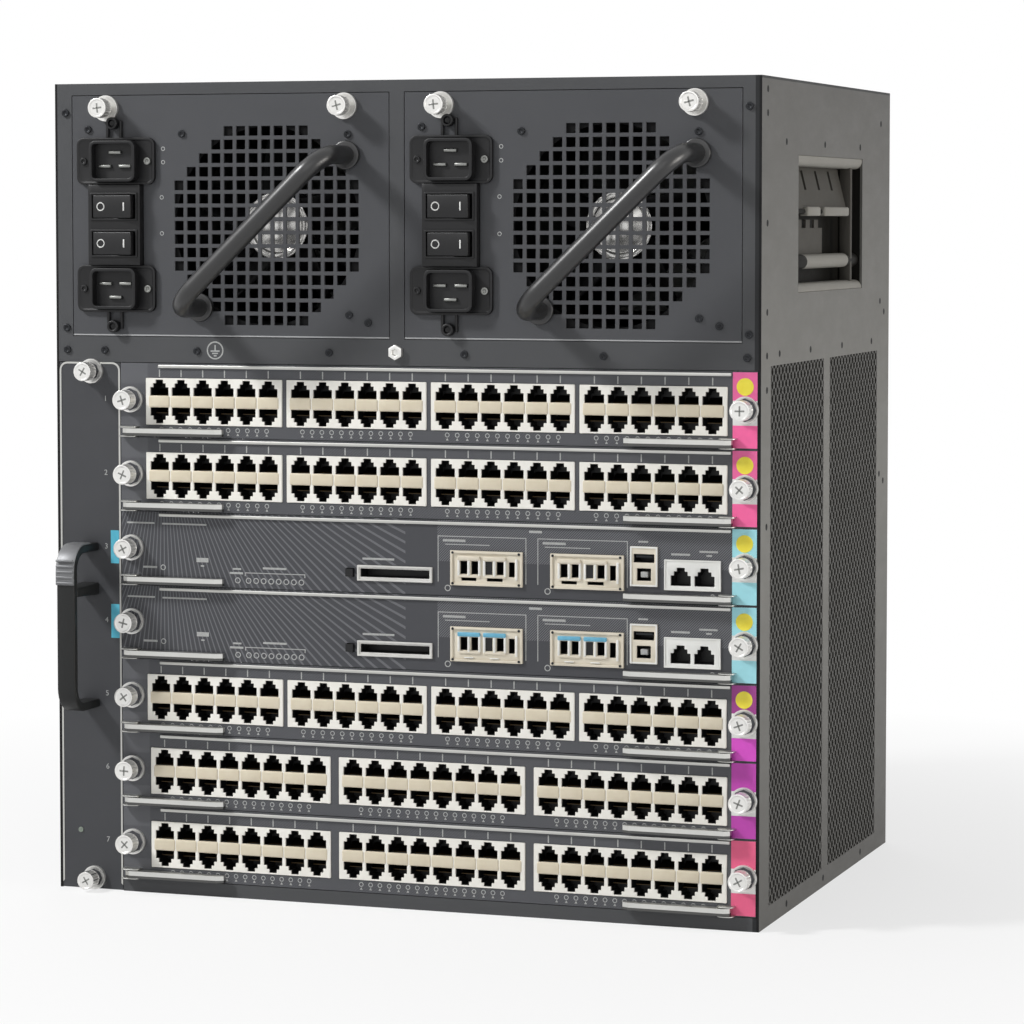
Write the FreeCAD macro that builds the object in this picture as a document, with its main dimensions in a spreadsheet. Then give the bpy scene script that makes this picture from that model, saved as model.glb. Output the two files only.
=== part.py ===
"""Modular chassis switch: seven card slots, two power supplies and a side fan tray.

The machine stands on z = 0 and its origin is the middle of its base. +X is to
the right of someone facing the front, and +Y runs to the rear. Every body's own
y = 0 is the front plane. All sizes are millimetres, in the spreadsheet "Sizes".
"""
import FreeCAD, Part
import math
import os
import re
import Sketcher
from FreeCAD import Placement, Rotation, Vector

SLOTS = 7
LINE_CARDS = {1: "six", 2: "six", 5: "six", 6: "eight", 7: "eight"}
COLUMNS = {"six": 6, "eight": 8}
BLOCKS = {"six": 4, "eight": 3}
SUPERVISORS = (3, 4)
GRILLE_ROWS = (7, 9, 11, 13, 15, 15, 15, 15, 15, 15, 15, 13, 11, 9, 7)
VENT_SLOTS = {"left": 6, "right": 8}
BLADES = 5
TRAY_ROWS = {"lower": 0, "upper": 1}
TRAY_COLUMNS = {"front": 0, "rear": 1}
BEND_FLATS = 3

SIZES = [
    # sheet metal and clearances
    ("wall", 1.5, "thickness of the chassis sheet"),
    ("plate", 1.5, "thickness of every module's faceplate"),
    ("slide_gap", 0.3, "gap between a module and what it slides on"),
    ("face_gap", 0.4, "gap round each faceplate"),
    ("fit", 0.2, "gap between a socket block and its window"),
    # chassis
    ("width", 440.0, "overall width"),
    ("depth", 317.0, "overall depth"),
    ("base_rail", 8.4, "height of the rail under the lowest card"),
    ("slot_pitch", 44.6, "height of one card slot"),
    ("mid_rail", 15.4, "height of the rail between cards and power supplies"),
    ("psu_bay", 144.5, "height of the power supply openings"),
    ("top_rim", 6.9, "height of the rim over the power supplies"),
    ("frame_stile", 11.0, "width of the frame beside a power supply"),
    ("psu_mullion", 9.0, "width of the post between the power supplies"),
    # vents and carrying pockets of the side panels
    ("vent_front", 21.5, "front edge of the first vent"),
    ("vent_length", 124.0, "length of one vent from front to rear"),
    ("vent_post", 15.0, "plain strip between the two vents"),
    ("vent_floor", 11.5, "lower edge of the vents"),
    ("vent_height", 311.0, "height of the vents"),
    ("vent_bar", 4.0, "metal left between two vent slots"),
    ("pocket_front", 81.4, "front edge of a carrying pocket"),
    ("pocket_length", 162.0, "length of a carrying pocket"),
    ("pocket_floor", 362.0, "lower edge of a carrying pocket"),
    ("pocket_height", 83.0, "height of a carrying pocket"),
    ("pocket_depth", 15.0, "depth of a carrying pocket behind the sheet"),
    ("grip_radius", 5.5, "radius of the bar across a carrying pocket"),
    ("grip_rise", 19.0, "height of the bar over the pocket's lower edge"),
    ("hood_drop", 31.0, "height of the finger hood"),
    ("hood_sheet", 3.0, "thickness of the finger hood"),
    # card cage and backplane
    ("cage_sheet", 1.2, "thickness of the card cage"),
    ("cage_inset", 13.0, "right cage wall to the inside of the side panel"),
    ("guide_width", 7.0, "width of a card guide"),
    ("guide_height", 1.6, "height of a card guide"),
    ("guide_front", 9.0, "front end of a card guide behind the front plane"),
    ("backplane_front", 258.0, "front face of the backplane"),
    ("backplane_sheet", 3.2, "thickness of the backplane"),
    ("connector_width", 150.0, "width of a backplane connector"),
    ("connector_height", 12.0, "height of a backplane connector"),
    ("connector_depth", 8.0, "depth of a backplane connector"),
    # cards
    ("board_sheet", 1.6, "thickness of a card's circuit board"),
    ("board_lift", 3.4, "underside of the board over the slot's floor"),
    ("screw_inset", 6.9, "captive screw to the end of its card"),
    ("collar_radius", 6.7, "radius of a captive screw's collar"),
    ("collar_length", 2.4, "how far the collar stands out"),
    ("neck_radius", 3.1, "radius of the sprung neck"),
    ("neck_length", 3.6, "visible length of the sprung neck"),
    ("knob_radius", 5.3, "radius of the screw's knob"),
    ("knob_length", 7.5, "length of the screw's knob"),
    # socket blocks of the line cards
    ("jack_floor", 7.3, "underside of a socket block over the slot's floor"),
    ("jack_height", 28.0, "height of a socket block"),
    ("jack_depth", 16.0, "depth of a socket block"),
    ("jack_proud", 0.6, "how far a socket block stands out of the faceplate"),
    ("port_pitch", 14.1, "distance between neighbouring sockets"),
    ("port_width", 11.4, "width of a socket opening"),
    ("port_depth", 13.0, "depth of a socket opening"),
    ("port_margin", 4.6, "shoulder of a socket to the block's edge"),
    ("key_width", 5.0, "width of the latch keyway"),
    ("key_depth", 3.0, "how far the keyway rises over the shoulder"),
    ("block_edge", 1.9, "plain end of a socket block"),
    ("band_height", 6.6, "height of the bar between two rows of sockets"),
    ("band_sheet", 0.5, "how far that bar stands out of the block"),
    ("six_start", 16.6, "first six-column block to the card's left end"),
    ("six_step", 91.1, "distance between six-column blocks"),
    ("eight_start", 18.6, "first eight-column block to the card's left end"),
    ("eight_step", 121.8, "distance between eight-column blocks"),
    # sockets of the supervisors, measured from the slot's floor and the middle
    ("optic_left", 33.3, "left edge of the first optical socket pair"),
    ("optic_pitch", 61.5, "distance between the optical socket pairs"),
    ("optic_width", 44.5, "width of an optical socket pair"),
    ("optic_floor", 6.2, "underside of the optical socket pairs"),
    ("optic_height", 20.4, "height of the optical socket pairs"),
    ("cage_mouth", 13.6, "width of one optical socket"),
    ("cage_rise", 9.0, "height of one optical socket"),
    ("serial_left", 143.0, "left edge of the serial socket block"),
    ("serial_width", 16.4, "width of the serial socket block"),
    ("serial_floor", 9.2, "underside of the serial socket block"),
    ("serial_height", 23.0, "height of the serial socket block"),
    ("manage_left", 163.4, "left edge of the management socket block"),
    ("manage_floor", 7.6, "underside of the management socket block"),
    ("manage_height", 17.6, "height of the management socket block"),
    ("memory_left", -25.1, "left edge of the memory card slot"),
    ("memory_width", 47.0, "width of the memory card slot's frame"),
    ("memory_floor", 7.0, "underside of the memory card slot's frame"),
    ("memory_height", 9.2, "height of the memory card slot's frame"),
    ("memory_rim", 1.8, "rim of the memory card slot's frame"),
    ("button_size", 4.6, "side of the memory card's eject button"),
    ("button_length", 2.4, "how far the eject button stands out"),
    ("button_stem", 8.0, "length of the eject button behind the front plane"),
    ("button_gap", 0.35, "gap round the eject button in its window"),
    ("button_left", -32.0, "left edge of the eject button"),
    # ejector levers
    ("lever_length", 61.0, "pivot to the tip of an ejector lever"),
    ("lever_height", 4.2, "height of an ejector lever"),
    ("lever_lift", 1.0, "underside of a lever over the slot's floor"),
    ("lever_radius", 3.6, "radius round a lever's pivot"),
    ("right_pivot", 17.0, "right lever's pivot to the card's right end"),
    # power supplies
    ("psu_depth", 285.0, "depth of a power supply"),
    ("case_sheet", 1.2, "thickness of a power supply's casing"),
    ("case_inset", 8.0, "casing to the end of the faceplate"),
    ("grille_from_left", 126.2, "middle of the grille to the faceplate's left end"),
    ("grille_rise", 66.4, "middle of the grille over the opening's floor"),
    ("grille_pitch", 8.0, "pitch of the grille's square holes"),
    ("grille_bar", 2.3, "metal left between the grille's holes"),
    ("guard_sheet", 1.0, "thickness of the fan guard"),
    ("fan_frame", 124.0, "outer size of the fan's square frame"),
    ("fan_frame_wall", 2.5, "wall of the fan's square frame"),
    ("fan_frame_depth", 32.0, "depth of the fan's square frame"),
    ("fan_strut", 12.0, "width of the strut that carries the rotor"),
    ("psu_screw_left", 23.3, "left captive screw to the faceplate's left end"),
    ("psu_screw_right", 27.9, "right captive screw to the faceplate's right end"),
    ("psu_screw_drop", 8.0, "captive screws under the opening's top"),
    ("entry_from_left", 29.8, "middle of the power entry to the left end"),
    ("entry_rise", 66.8, "middle of the power entry over the opening's floor"),
    ("inlet_spread", 38.1, "middle of an inlet to the middle of the entry"),
    ("inlet_flange_width", 51.0, "width of an inlet's flange"),
    ("inlet_flange_height", 28.0, "height of an inlet's flange"),
    ("inlet_width", 30.0, "width of an inlet's shroud"),
    ("inlet_height", 24.6, "height of an inlet's shroud"),
    ("inlet_wall", 2.0, "wall of an inlet's shroud"),
    ("inlet_proud", 8.0, "how far an inlet stands out"),
    ("inlet_cavity", 21.0, "depth of an inlet's cavity"),
    ("entry_sheet", 2.5, "thickness of the power entry's flange"),
    ("entry_depth", 22.0, "depth of the power entry behind the faceplate"),
    ("entry_width", 34.0, "width of the power entry's body"),
    ("rocker_spread", 11.0, "middle of a rocker to the middle of the entry"),
    ("rocker_bezel", 5.0, "how far the rockers' bezel stands out"),
    ("rocker_length", 26.6, "length of a rocker"),
    ("rocker_height", 13.6, "height of a rocker"),
    ("rocker_window", 28.4, "length of a rocker's window"),
    ("rocker_well", 12.0, "depth of a rocker's window"),
    ("rocker_tilt", 8.0, "tilt of a rocker to each side, in degrees"),
    ("grab_span", 130.0, "distance between the feet of a pull handle"),
    ("grab_reach", 40.0, "how far a pull handle's axis stands out"),
    ("grab_bend", 18.0, "bend radius of a pull handle's axis"),
    ("grab_radius", 5.6, "radius of a pull handle's tube"),
    ("grab_foot", 8.5, "radius of a pull handle's foot"),
    ("grab_foot_length", 3.0, "thickness of a pull handle's foot"),
    ("grab_tilt", 43.8, "slope of a pull handle, in degrees"),
    ("grab_from_left", 130.7, "middle of a pull handle to the left end"),
    ("grab_rise", 62.8, "middle of a pull handle over the opening's floor"),
    # fan tray
    ("fan_face", 40.0, "width of the fan tray's faceplate"),
    ("tray_depth", 280.0, "depth of the fan tray"),
    ("tray_wall_inset", 9.0, "fan wall to the tray's left edge"),
    ("fan_reach", 78.0, "first fan's axis to the front plane"),
    ("fan_column_pitch", 130.0, "distance between the two columns of fans"),
    ("fan_rise", 85.0, "lowest fan's axis over the floor"),
    ("fan_row_pitch", 150.0, "distance between the two rows of fans"),
    ("fan_mouth", 58.0, "half width of a fan's mouth"),
    ("rotor_radius", 54.0, "tip radius of a rotor"),
    ("hub_radius", 20.0, "radius of a rotor's hub"),
    ("hub_length", 18.0, "length of a rotor's hub"),
    ("blade_sheet", 2.0, "thickness of a rotor blade"),
    ("tray_screw_rise", 7.2, "tray's lower captive screw over the floor"),
    ("tray_screw_drop", 5.6, "tray's upper captive screw under the cage's top"),
    ("tray_screw_inset", 21.5, "tray's captive screws to the tray's left edge"),
    ("tray_collar_radius", 5.4, "radius of the tray screws' collars"),
    ("strap_floor", 110.0, "lower end of the tray's handle"),
    ("strap_height", 103.0, "height of the tray's handle"),
    ("strap_reach", 37.0, "how far the tray's handle stands out"),
    ("strap_thickness", 6.0, "thickness of the tray's handle"),
    ("strap_width", 10.0, "width of the tray's handle"),
    ("strap_bend", 15.0, "outer bend radius of the tray's handle"),
    ("strap_finger", 25.0, "height of the upper finger hole in the handle"),
    ("strap_from_left", 14.0, "handle to the tray's left edge"),
]

doc = FreeCAD.newDocument("modular_chassis_switch")
sheet = doc.addObject("Spreadsheet::Sheet", "Sizes")
for row, (name, number, meaning) in enumerate(SIZES, start=1):
    sheet.set("A%d" % row, meaning)
    sheet.set("B%d" % row, str(number))
    sheet.setAlias("B%d" % row, name)
doc.recompute()

# Places that several pieces share, as formulas in the sheet's names.
SIDE = "(width/2 - wall)"
CAGE_TOP = "(base_rail + %d*slot_pitch)" % SLOTS
PSU_FLOOR = "(%s + mid_rail)" % CAGE_TOP
HEIGHT = "(%s + psu_bay + top_rim)" % PSU_FLOOR
FRAME_SHEET = "(plate + slide_gap)"
TRAY_LEFT = "(-width/2 + wall + face_gap)"
TRAY_RIGHT = "(%s + fan_face)" % TRAY_LEFT
CARD_LEFT = "(%s + face_gap)" % TRAY_RIGHT
CARD_RIGHT = "(%s - face_gap)" % SIDE
CAGE_RIGHT = "(%s - cage_inset)" % SIDE
BOARD_LEFT = "(%s + cage_sheet + slide_gap)" % CARD_LEFT
BOARD_RIGHT = "(%s - slide_gap)" % CAGE_RIGHT
PSU_WIDTH = "(width/2 - frame_stile - psu_mullion/2)"
PSU_TOP = "(psu_bay - face_gap)"
STRUT_FRONT = "(plate + guard_sheet + fan_frame_depth)"
TRAY_WALL = "(%s + tray_wall_inset)" % TRAY_LEFT

parts = []


def bound(formula):
    """Return the formula with its names turned into references to the sheet."""
    return re.sub(r"[a-z][a-z_]+", lambda word: "Sizes." + word.group(), str(formula))


def value(formula):
    """Return what the formula comes to."""
    return float(sheet.evalExpression(bound(formula)))


def make_body(label, x="0", y="0", z="0", axis=None, angle="0"):
    """Start a body at x, y behind the front plane and z, turned about an axis."""
    body = doc.addObject("PartDesign::Body", label)
    body.Label = label
    if axis:
        body.Placement = Placement(Vector(), Rotation(axis, 1))
        body.setExpression("Placement.Rotation.Angle", bound(angle))
    for name, formula in zip("xyz", (x, y + " - depth/2", z)):
        body.setExpression("Placement.Base." + name, bound(formula))
    return body


def kept(body):
    """Note a finished piece, which is written to its own file."""
    parts.append(body)
    return body


def fix_to_plane(item, body, role, offset):
    """Attach an item to one of its body's origin planes, moved along its normal."""
    plane = next(part for part in body.Origin.OriginFeatures if part.Role == role)
    item.AttachmentSupport = [(plane, "")]
    item.MapMode = "FlatFace"
    item.setExpression("AttachmentOffset.Base.z", bound(offset))


def make_sketch(body, role, offset="0"):
    """Start a sketch; on the XZ plane a positive offset lies towards the front."""
    sketch = body.newObject("Sketcher::SketchObject", "Outline")
    fix_to_plane(sketch, body, role, offset)
    return sketch


def constrain(sketch, rules, ties):
    """Add plain rules and then ties, which hold a line's first point at x, y."""
    formulas = []
    for line, x, y in ties:
        for kind, formula in (("DistanceX", x), ("DistanceY", y)):
            rules.append(Sketcher.Constraint(kind, -1, 1, line, 1, value(formula)))
            formulas.append(formula)
    sketch.addConstraint(rules)
    start = sketch.ConstraintCount - len(formulas)
    for number, formula in enumerate(formulas, start):
        sketch.setExpression("Constraints[%d]" % number, bound(formula))


def draw_loop(sketch, points):
    """Draw a closed loop; return its first line's number and the joining rules."""
    first = sketch.GeometryCount
    count = len(points)
    spots = [Vector(value(x), value(y), 0) for x, y in points]
    lines = [Part.LineSegment(spots[n], spots[(n + 1) % count]) for n in range(count)]
    sketch.addGeometry(lines, False)
    return first, [Sketcher.Constraint("Coincident", first + n, 2, first + (n + 1) % count, 1)
                   for n in range(count)]


def polygon(sketch, points):
    """Draw a closed outline through points given as pairs of formulas."""
    first, rules = draw_loop(sketch, points)
    constrain(sketch, rules, [(first + n, x, y) for n, (x, y) in enumerate(points)])


def rectangle(sketch, left, low, right, high):
    """Draw an upright rectangle between two corners."""
    first, rules = draw_loop(sketch, [(left, low), (right, low), (right, high), (left, high)])
    rules += [Sketcher.Constraint("Horizontal", first + n) for n in (0, 2)]
    rules += [Sketcher.Constraint("Vertical", first + n) for n in (1, 3)]
    constrain(sketch, rules, [(first, left, low), (first + 2, right, high)])


def add(body, sketch, length, back=False):
    """Pad a sketch along its normal, or back from it."""
    feature = body.newObject("PartDesign::Pad", "Pad")
    feature.Profile = sketch
    feature.Reversed = back
    feature.setExpression("Length", bound(length))
    return feature


def cut(body, sketch, length, back=False):
    """Pocket a sketch against its normal, or along it."""
    feature = body.newObject("PartDesign::Pocket", "Pocket")
    feature.Profile = sketch
    feature.Reversed = back
    feature.setExpression("Length", bound(length))
    return feature


def repeat(body, feature, sketch, axis, step, count):
    """Repeat a feature along the H, V or N axis of its sketch."""
    pattern = body.newObject("PartDesign::LinearPattern", "Repeat")
    pattern.Originals = [feature]
    pattern.Direction = (sketch, [axis + "_Axis"])
    pattern.Occurrences = count
    pattern.setExpression("Length", bound("%d*%s" % (count - 1, step)))
    body.Tip = pattern
    return pattern


def prism(body, x, z, start, radius, length, sides=8):
    """Add a stud with flat sides that stands out to the front from y = -start."""
    stud = body.newObject("PartDesign::AdditivePrism", "Stud")
    fix_to_plane(stud, body, "XZ_Plane", start)
    stud.Polygon = sides
    stud.setExpression("AttachmentOffset.Base.x", bound(x))
    stud.setExpression("AttachmentOffset.Base.y", bound(z))
    stud.setExpression("Circumradius", bound(radius))
    stud.setExpression("Height", bound(length))


def captive_screw(body, x, z, collar="collar_radius"):
    """Add a sprung captive screw: collar, neck and knob, fused to its faceplate."""
    prism(body, x, z, "0", collar, "collar_length")
    prism(body, x, z, "collar_length", "neck_radius", "neck_length", sides=4)
    prism(body, x, z, "collar_length + neck_length", "knob_radius", "knob_length")


# --- chassis ---------------------------------------------------------------

def front_frame():
    """The painted frame round the two power supplies."""
    body = make_body("front_frame")
    sketch = make_sketch(body, "XZ_Plane")
    rectangle(sketch, "-" + SIDE, CAGE_TOP, SIDE, HEIGHT)
    for side in (-1, 1):
        rectangle(sketch, "%d*(width/2 - frame_stile)" % side, PSU_FLOOR,
                  "%d*psu_mullion/2" % side, "%s + psu_bay" % PSU_FLOOR)
    add(body, sketch, FRAME_SHEET, back=True)
    return kept(body)


def side_panel(name, side):
    """An outer side wall with its vents and the window of its carrying pocket."""
    body = make_body(name + "_side_panel")
    face = SIDE if side > 0 else "-width/2"
    sketch = make_sketch(body, "YZ_Plane", face)
    rectangle(sketch, "0", "0", "depth", HEIGHT)
    rectangle(sketch, "pocket_front + cage_sheet", "pocket_floor + cage_sheet",
              "pocket_front + pocket_length - cage_sheet",
              "pocket_floor + pocket_height - cage_sheet")
    add(body, sketch, "wall")
    if side > 0:
        flange = make_sketch(body, "XZ_Plane", "-" + FRAME_SHEET)
        rectangle(flange, CAGE_RIGHT + " + cage_sheet", "base_rail", SIDE, CAGE_TOP)
        add(body, flange, "wall", back=True)
    slots = VENT_SLOTS[name]
    pitch = "(vent_length + vent_bar)/%d" % slots
    vents = make_sketch(body, "YZ_Plane", face)
    for start in ("vent_front", "(vent_front + vent_length + vent_post)"):
        rectangle(vents, start, "vent_floor", "%s + %s - vent_bar" % (start, pitch),
                  "vent_floor + vent_height")
    hole = cut(body, vents, "wall", back=True)
    repeat(body, hole, vents, "H", pitch, slots)
    return kept(body)


def base_pan():
    """The floor, with the rail under the lowest card folded up at the front."""
    body = make_body("base_pan")
    sketch = make_sketch(body, "XY_Plane")
    rectangle(sketch, "-" + SIDE, FRAME_SHEET, SIDE, "depth - wall")
    add(body, sketch, "wall")
    rail = make_sketch(body, "XZ_Plane")
    rectangle(rail, CARD_LEFT, "0", SIDE, "base_rail - face_gap")
    add(body, rail, FRAME_SHEET, back=True)
    return kept(body)


def top_cover():
    """The flat lid."""
    body = make_body("top_cover")
    sketch = make_sketch(body, "XY_Plane", "%s - wall" % HEIGHT)
    rectangle(sketch, "-" + SIDE, FRAME_SHEET, SIDE, "depth - wall")
    add(body, sketch, "wall")
    return kept(body)


def rear_panel():
    """The plain rear wall."""
    body = make_body("rear_panel")
    sketch = make_sketch(body, "XZ_Plane", "wall - depth")
    rectangle(sketch, "-" + SIDE, "0", SIDE, HEIGHT)
    add(body, sketch, "wall", back=True)
    return kept(body)


def psu_shelf():
    """The shelf that carries the power supplies, with the post between them."""
    body = make_body("psu_shelf", z="%s + face_gap - slide_gap - wall" % PSU_FLOOR)
    sketch = make_sketch(body, "XY_Plane")
    rectangle(sketch, "-" + SIDE, FRAME_SHEET, SIDE, "depth - wall")
    add(body, sketch, "wall")
    post = make_sketch(body, "XY_Plane")
    rectangle(post, "-wall/2", FRAME_SHEET, "wall/2", "depth - wall")
    add(body, post, "psu_bay + top_rim + slide_gap - face_gap")
    return kept(body)


def group(label, bodies):
    """Keep bodies that touch each other as one piece of several solids."""
    compound = doc.addObject("Part::Compound", label)
    compound.Label = label
    compound.Links = bodies
    return kept(compound)


def card_cage():
    """The inner cage: a ceiling and two open side frames that carry the card guides."""
    roof = make_body("cage_roof", z=CAGE_TOP)
    rear = "backplane_front + backplane_sheet"
    ceiling = make_sketch(roof, "XY_Plane")
    rectangle(ceiling, "-" + SIDE, FRAME_SHEET, SIDE, rear)
    add(roof, ceiling, "cage_sheet")
    frames = make_body("cage_frames", z="wall")
    walls = make_sketch(frames, "XY_Plane")
    for edge in (CARD_LEFT, CAGE_RIGHT):
        rectangle(walls, edge, FRAME_SHEET, edge + " + cage_sheet", rear)
    add(frames, walls, CAGE_TOP + " - wall")
    air = make_sketch(frames, "YZ_Plane", CARD_LEFT)
    rectangle(air, "vent_front", "base_rail - wall", "vent_front + 2*vent_length + vent_post",
              CAGE_TOP + " - 2*wall - base_rail")
    cut(frames, air, "width", back=True)
    guides = make_body("cage_guides", z="board_lift - slide_gap - guide_height")
    strips = make_sketch(guides, "XY_Plane", "base_rail")
    left = CARD_LEFT + " + cage_sheet"
    rectangle(strips, left, "guide_front", left + " + guide_width", "backplane_front")
    rectangle(strips, CAGE_RIGHT + " - guide_width", "guide_front", CAGE_RIGHT,
              "backplane_front")
    first = add(guides, strips, "guide_height")
    repeat(guides, first, strips, "N", "slot_pitch", SLOTS)
    return group("card_cage", [roof, frames, guides])


def backplane():
    """The board at the back of the cage, with one connector for each card."""
    body = make_body("backplane", y="backplane_front")
    sketch = make_sketch(body, "XZ_Plane")
    rectangle(sketch, "%s + cage_sheet" % CARD_LEFT, "wall", CAGE_RIGHT, CAGE_TOP)
    add(body, sketch, "backplane_sheet", back=True)
    socket = make_sketch(body, "XZ_Plane")
    low = "base_rail + board_lift - connector_height/3"
    rectangle(socket, "-connector_width/2", low, "connector_width/2",
              low + " + connector_height")
    block = add(body, socket, "connector_depth")
    repeat(body, block, socket, "V", "slot_pitch", SLOTS)
    return kept(body)


def side_handles():
    """The pair of recessed carrying cups, each with a grip bar and a finger hood."""
    body = make_body("side_handles", y="pocket_front", z="pocket_floor")
    back = "(%s - pocket_depth)" % SIDE
    cups = make_sketch(body, "XZ_Plane", "-pocket_length")
    for side in (-1, 1):
        inner = "%d*%s" % (side, back)
        outer = "%d*%s" % (side, SIDE)
        step = "%d*cage_sheet" % side
        polygon(cups, [
            (outer, "0"), (inner, "0"), (inner, "pocket_height"), (outer, "pocket_height"),
            (outer, "pocket_height - cage_sheet"),
            ("%s + %s" % (inner, step), "pocket_height - cage_sheet"),
            ("%s + %s" % (inner, step), "cage_sheet"), (outer, "cage_sheet"),
        ])
    add(body, cups, "pocket_length")
    ends = make_sketch(body, "XZ_Plane", "-cage_sheet")
    far_ends = make_sketch(body, "XZ_Plane", "-pocket_length")
    for drawing in (ends, far_ends):
        for side in (-1, 1):
            rectangle(drawing, "%d*%s" % (side, SIDE), "0", "%d*%s" % (side, back),
                      "pocket_height")
    add(body, ends, "cage_sheet")
    add(body, far_ends, "cage_sheet")
    hoods = make_sketch(body, "XZ_Plane", "cage_sheet - pocket_length")
    for side in (-1, 1):
        polygon(hoods, [
            ("%d*(%s + cage_sheet)" % (side, back), "pocket_height - 8"),
            ("%d*%s" % (side, SIDE), "pocket_height - hood_drop - hood_sheet"),
            ("%d*%s" % (side, SIDE), "pocket_height - hood_drop"),
            ("%d*(%s + cage_sheet)" % (side, back), "pocket_height - cage_sheet"),
        ])
    add(body, hoods, "pocket_length - 2*cage_sheet")
    for side in (-1, 1):
        bar = body.newObject("PartDesign::AdditivePrism", "Grip")
        fix_to_plane(bar, body, "XZ_Plane", "cage_sheet - pocket_length")
        bar.Polygon = 8
        bar.setExpression("AttachmentOffset.Base.x",
                          bound("%d*(%s - grip_radius)" % (side, SIDE)))
        bar.setExpression("AttachmentOffset.Base.y", bound("grip_rise"))
        bar.setExpression("Circumradius", bound("grip_radius"))
        bar.setExpression("Height", bound("pocket_length - 2*cage_sheet"))
    return kept(body)


# --- cards -----------------------------------------------------------------

def slot_floor(slot):
    """The height of a slot's floor; slot 1 is the highest."""
    return "base_rail + %d*slot_pitch" % (SLOTS - slot)


def card(slot, windows, button=None):
    """A card: faceplate with its windows, circuit board and captive screws."""
    body = make_body("slot_%d_card" % slot, z=slot_floor(slot))
    face = make_sketch(body, "XZ_Plane")
    rectangle(face, CARD_LEFT, "0", CARD_RIGHT, "slot_pitch - face_gap")
    for left, low, right, high in windows:
        rectangle(face, left + " - fit", low + " - fit", right + " + fit", high + " + fit")
    if button:
        left, low, right, high = button
        rectangle(face, left + " - button_gap", low + " - button_gap",
                  right + " + button_gap", high + " + button_gap")
    add(body, face, "plate", back=True)
    board = make_sketch(body, "XY_Plane", "board_lift")
    rectangle(board, BOARD_LEFT, "plate", BOARD_RIGHT,
              "backplane_front - connector_depth - slide_gap")
    add(body, board, "board_sheet")
    for x in (CARD_LEFT + " + screw_inset", CARD_RIGHT + " - screw_inset"):
        captive_screw(body, x, "slot_pitch/2")
    return kept(body)


def block_lefts(kind):
    """The left edges of a line card's socket blocks."""
    start, step = {"six": ("six_start", "six_step"), "eight": ("eight_start", "eight_step")}[kind]
    return ["%s + %s + %d*%s" % (CARD_LEFT, start, n, step) for n in range(BLOCKS[kind])]


def block_width(kind):
    """The width of one socket block."""
    return "(%d*port_pitch + 2*block_edge)" % COLUMNS[kind]


def line_card(slot, kind):
    """A line card with a window for each socket block."""
    windows = [(left, "jack_floor", "%s + %s" % (left, block_width(kind)),
                "jack_floor + jack_height") for left in block_lefts(kind)]
    return card(slot, windows)


def keyed_opening(sketch, middle, low, high, keys):
    """Draw one socket opening, with a latch keyway at each end that keys names."""
    left = "%s - port_width/2" % middle
    right = "%s + port_width/2" % middle
    key_left = "%s - key_width/2" % middle
    key_right = "%s + key_width/2" % middle
    points = [(left, low)]
    if "low" in keys:
        points += [(key_left, low + " - key_depth"), (key_right, low + " - key_depth")]
    points += [(right, low), (right, high)]
    if "high" in keys:
        points += [(key_right, high + " + key_depth"), (key_left, high + " + key_depth")]
    polygon(sketch, points + [(left, high)])


def jack_blocks(slot, kind):
    """The moulded socket blocks of a line card and the bars between their rows."""
    blocks = make_body("slot_%d_jack_mouldings" % slot, z=slot_floor(slot))
    outline = make_sketch(blocks, "XZ_Plane", "jack_proud")
    first = make_sketch(blocks, "XZ_Plane", "jack_proud")
    bars = make_body("slot_%d_jack_bars" % slot, z=slot_floor(slot))
    strip = make_sketch(bars, "XZ_Plane", "jack_proud")
    for left in block_lefts(kind):
        right = "%s + %s" % (left, block_width(kind))
        rectangle(outline, left, "jack_floor", right, "jack_floor + jack_height")
        keyed_opening(first, left + " + block_edge + port_pitch/2", "jack_floor + port_margin",
                      "jack_floor + jack_height - port_margin", ("low", "high"))
        middle = "jack_floor + jack_height/2"
        rectangle(strip, left + " + block_edge/2", middle + " - band_height/2",
                  right + " - block_edge/2", middle + " + band_height/2")
    add(blocks, outline, "jack_depth", back=True)
    hole = cut(blocks, first, "port_depth")
    repeat(blocks, hole, first, "H", "port_pitch", COLUMNS[kind])
    add(bars, strip, "band_sheet")
    return group("slot_%d_jacks" % slot, [blocks, bars])


def supervisor_blocks():
    """Left, lower, right and upper edges of a supervisor's socket blocks."""
    blocks = []
    for number in range(2):
        left = "optic_left + %d*optic_pitch" % number
        blocks.append((left, "optic_floor", left + " + optic_width",
                       "optic_floor + optic_height"))
    blocks.append(("serial_left", "serial_floor", "serial_left + serial_width",
                   "serial_floor + serial_height"))
    blocks.append(("manage_left", "manage_floor",
                   "manage_left + 2*port_pitch + 2*block_edge + 1.6",
                   "manage_floor + manage_height"))
    blocks.append(("memory_left", "memory_floor", "memory_left + memory_width",
                   "memory_floor + memory_height"))
    return blocks


def button_edges():
    """Left, lower, right and upper edges of the memory card's eject button."""
    middle = "memory_floor + memory_height/2"
    return ("button_left", middle + " - button_size/2", "button_left + button_size",
            middle + " + button_size/2")


def eject_button(slot):
    """The square button that pushes a memory card out; it slides in its own window."""
    body = make_body("slot_%d_eject_button" % slot, z=slot_floor(slot))
    outline = make_sketch(body, "XZ_Plane", "button_length")
    rectangle(outline, *button_edges())
    add(body, outline, "button_length + button_stem", back=True)
    return kept(body)


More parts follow.
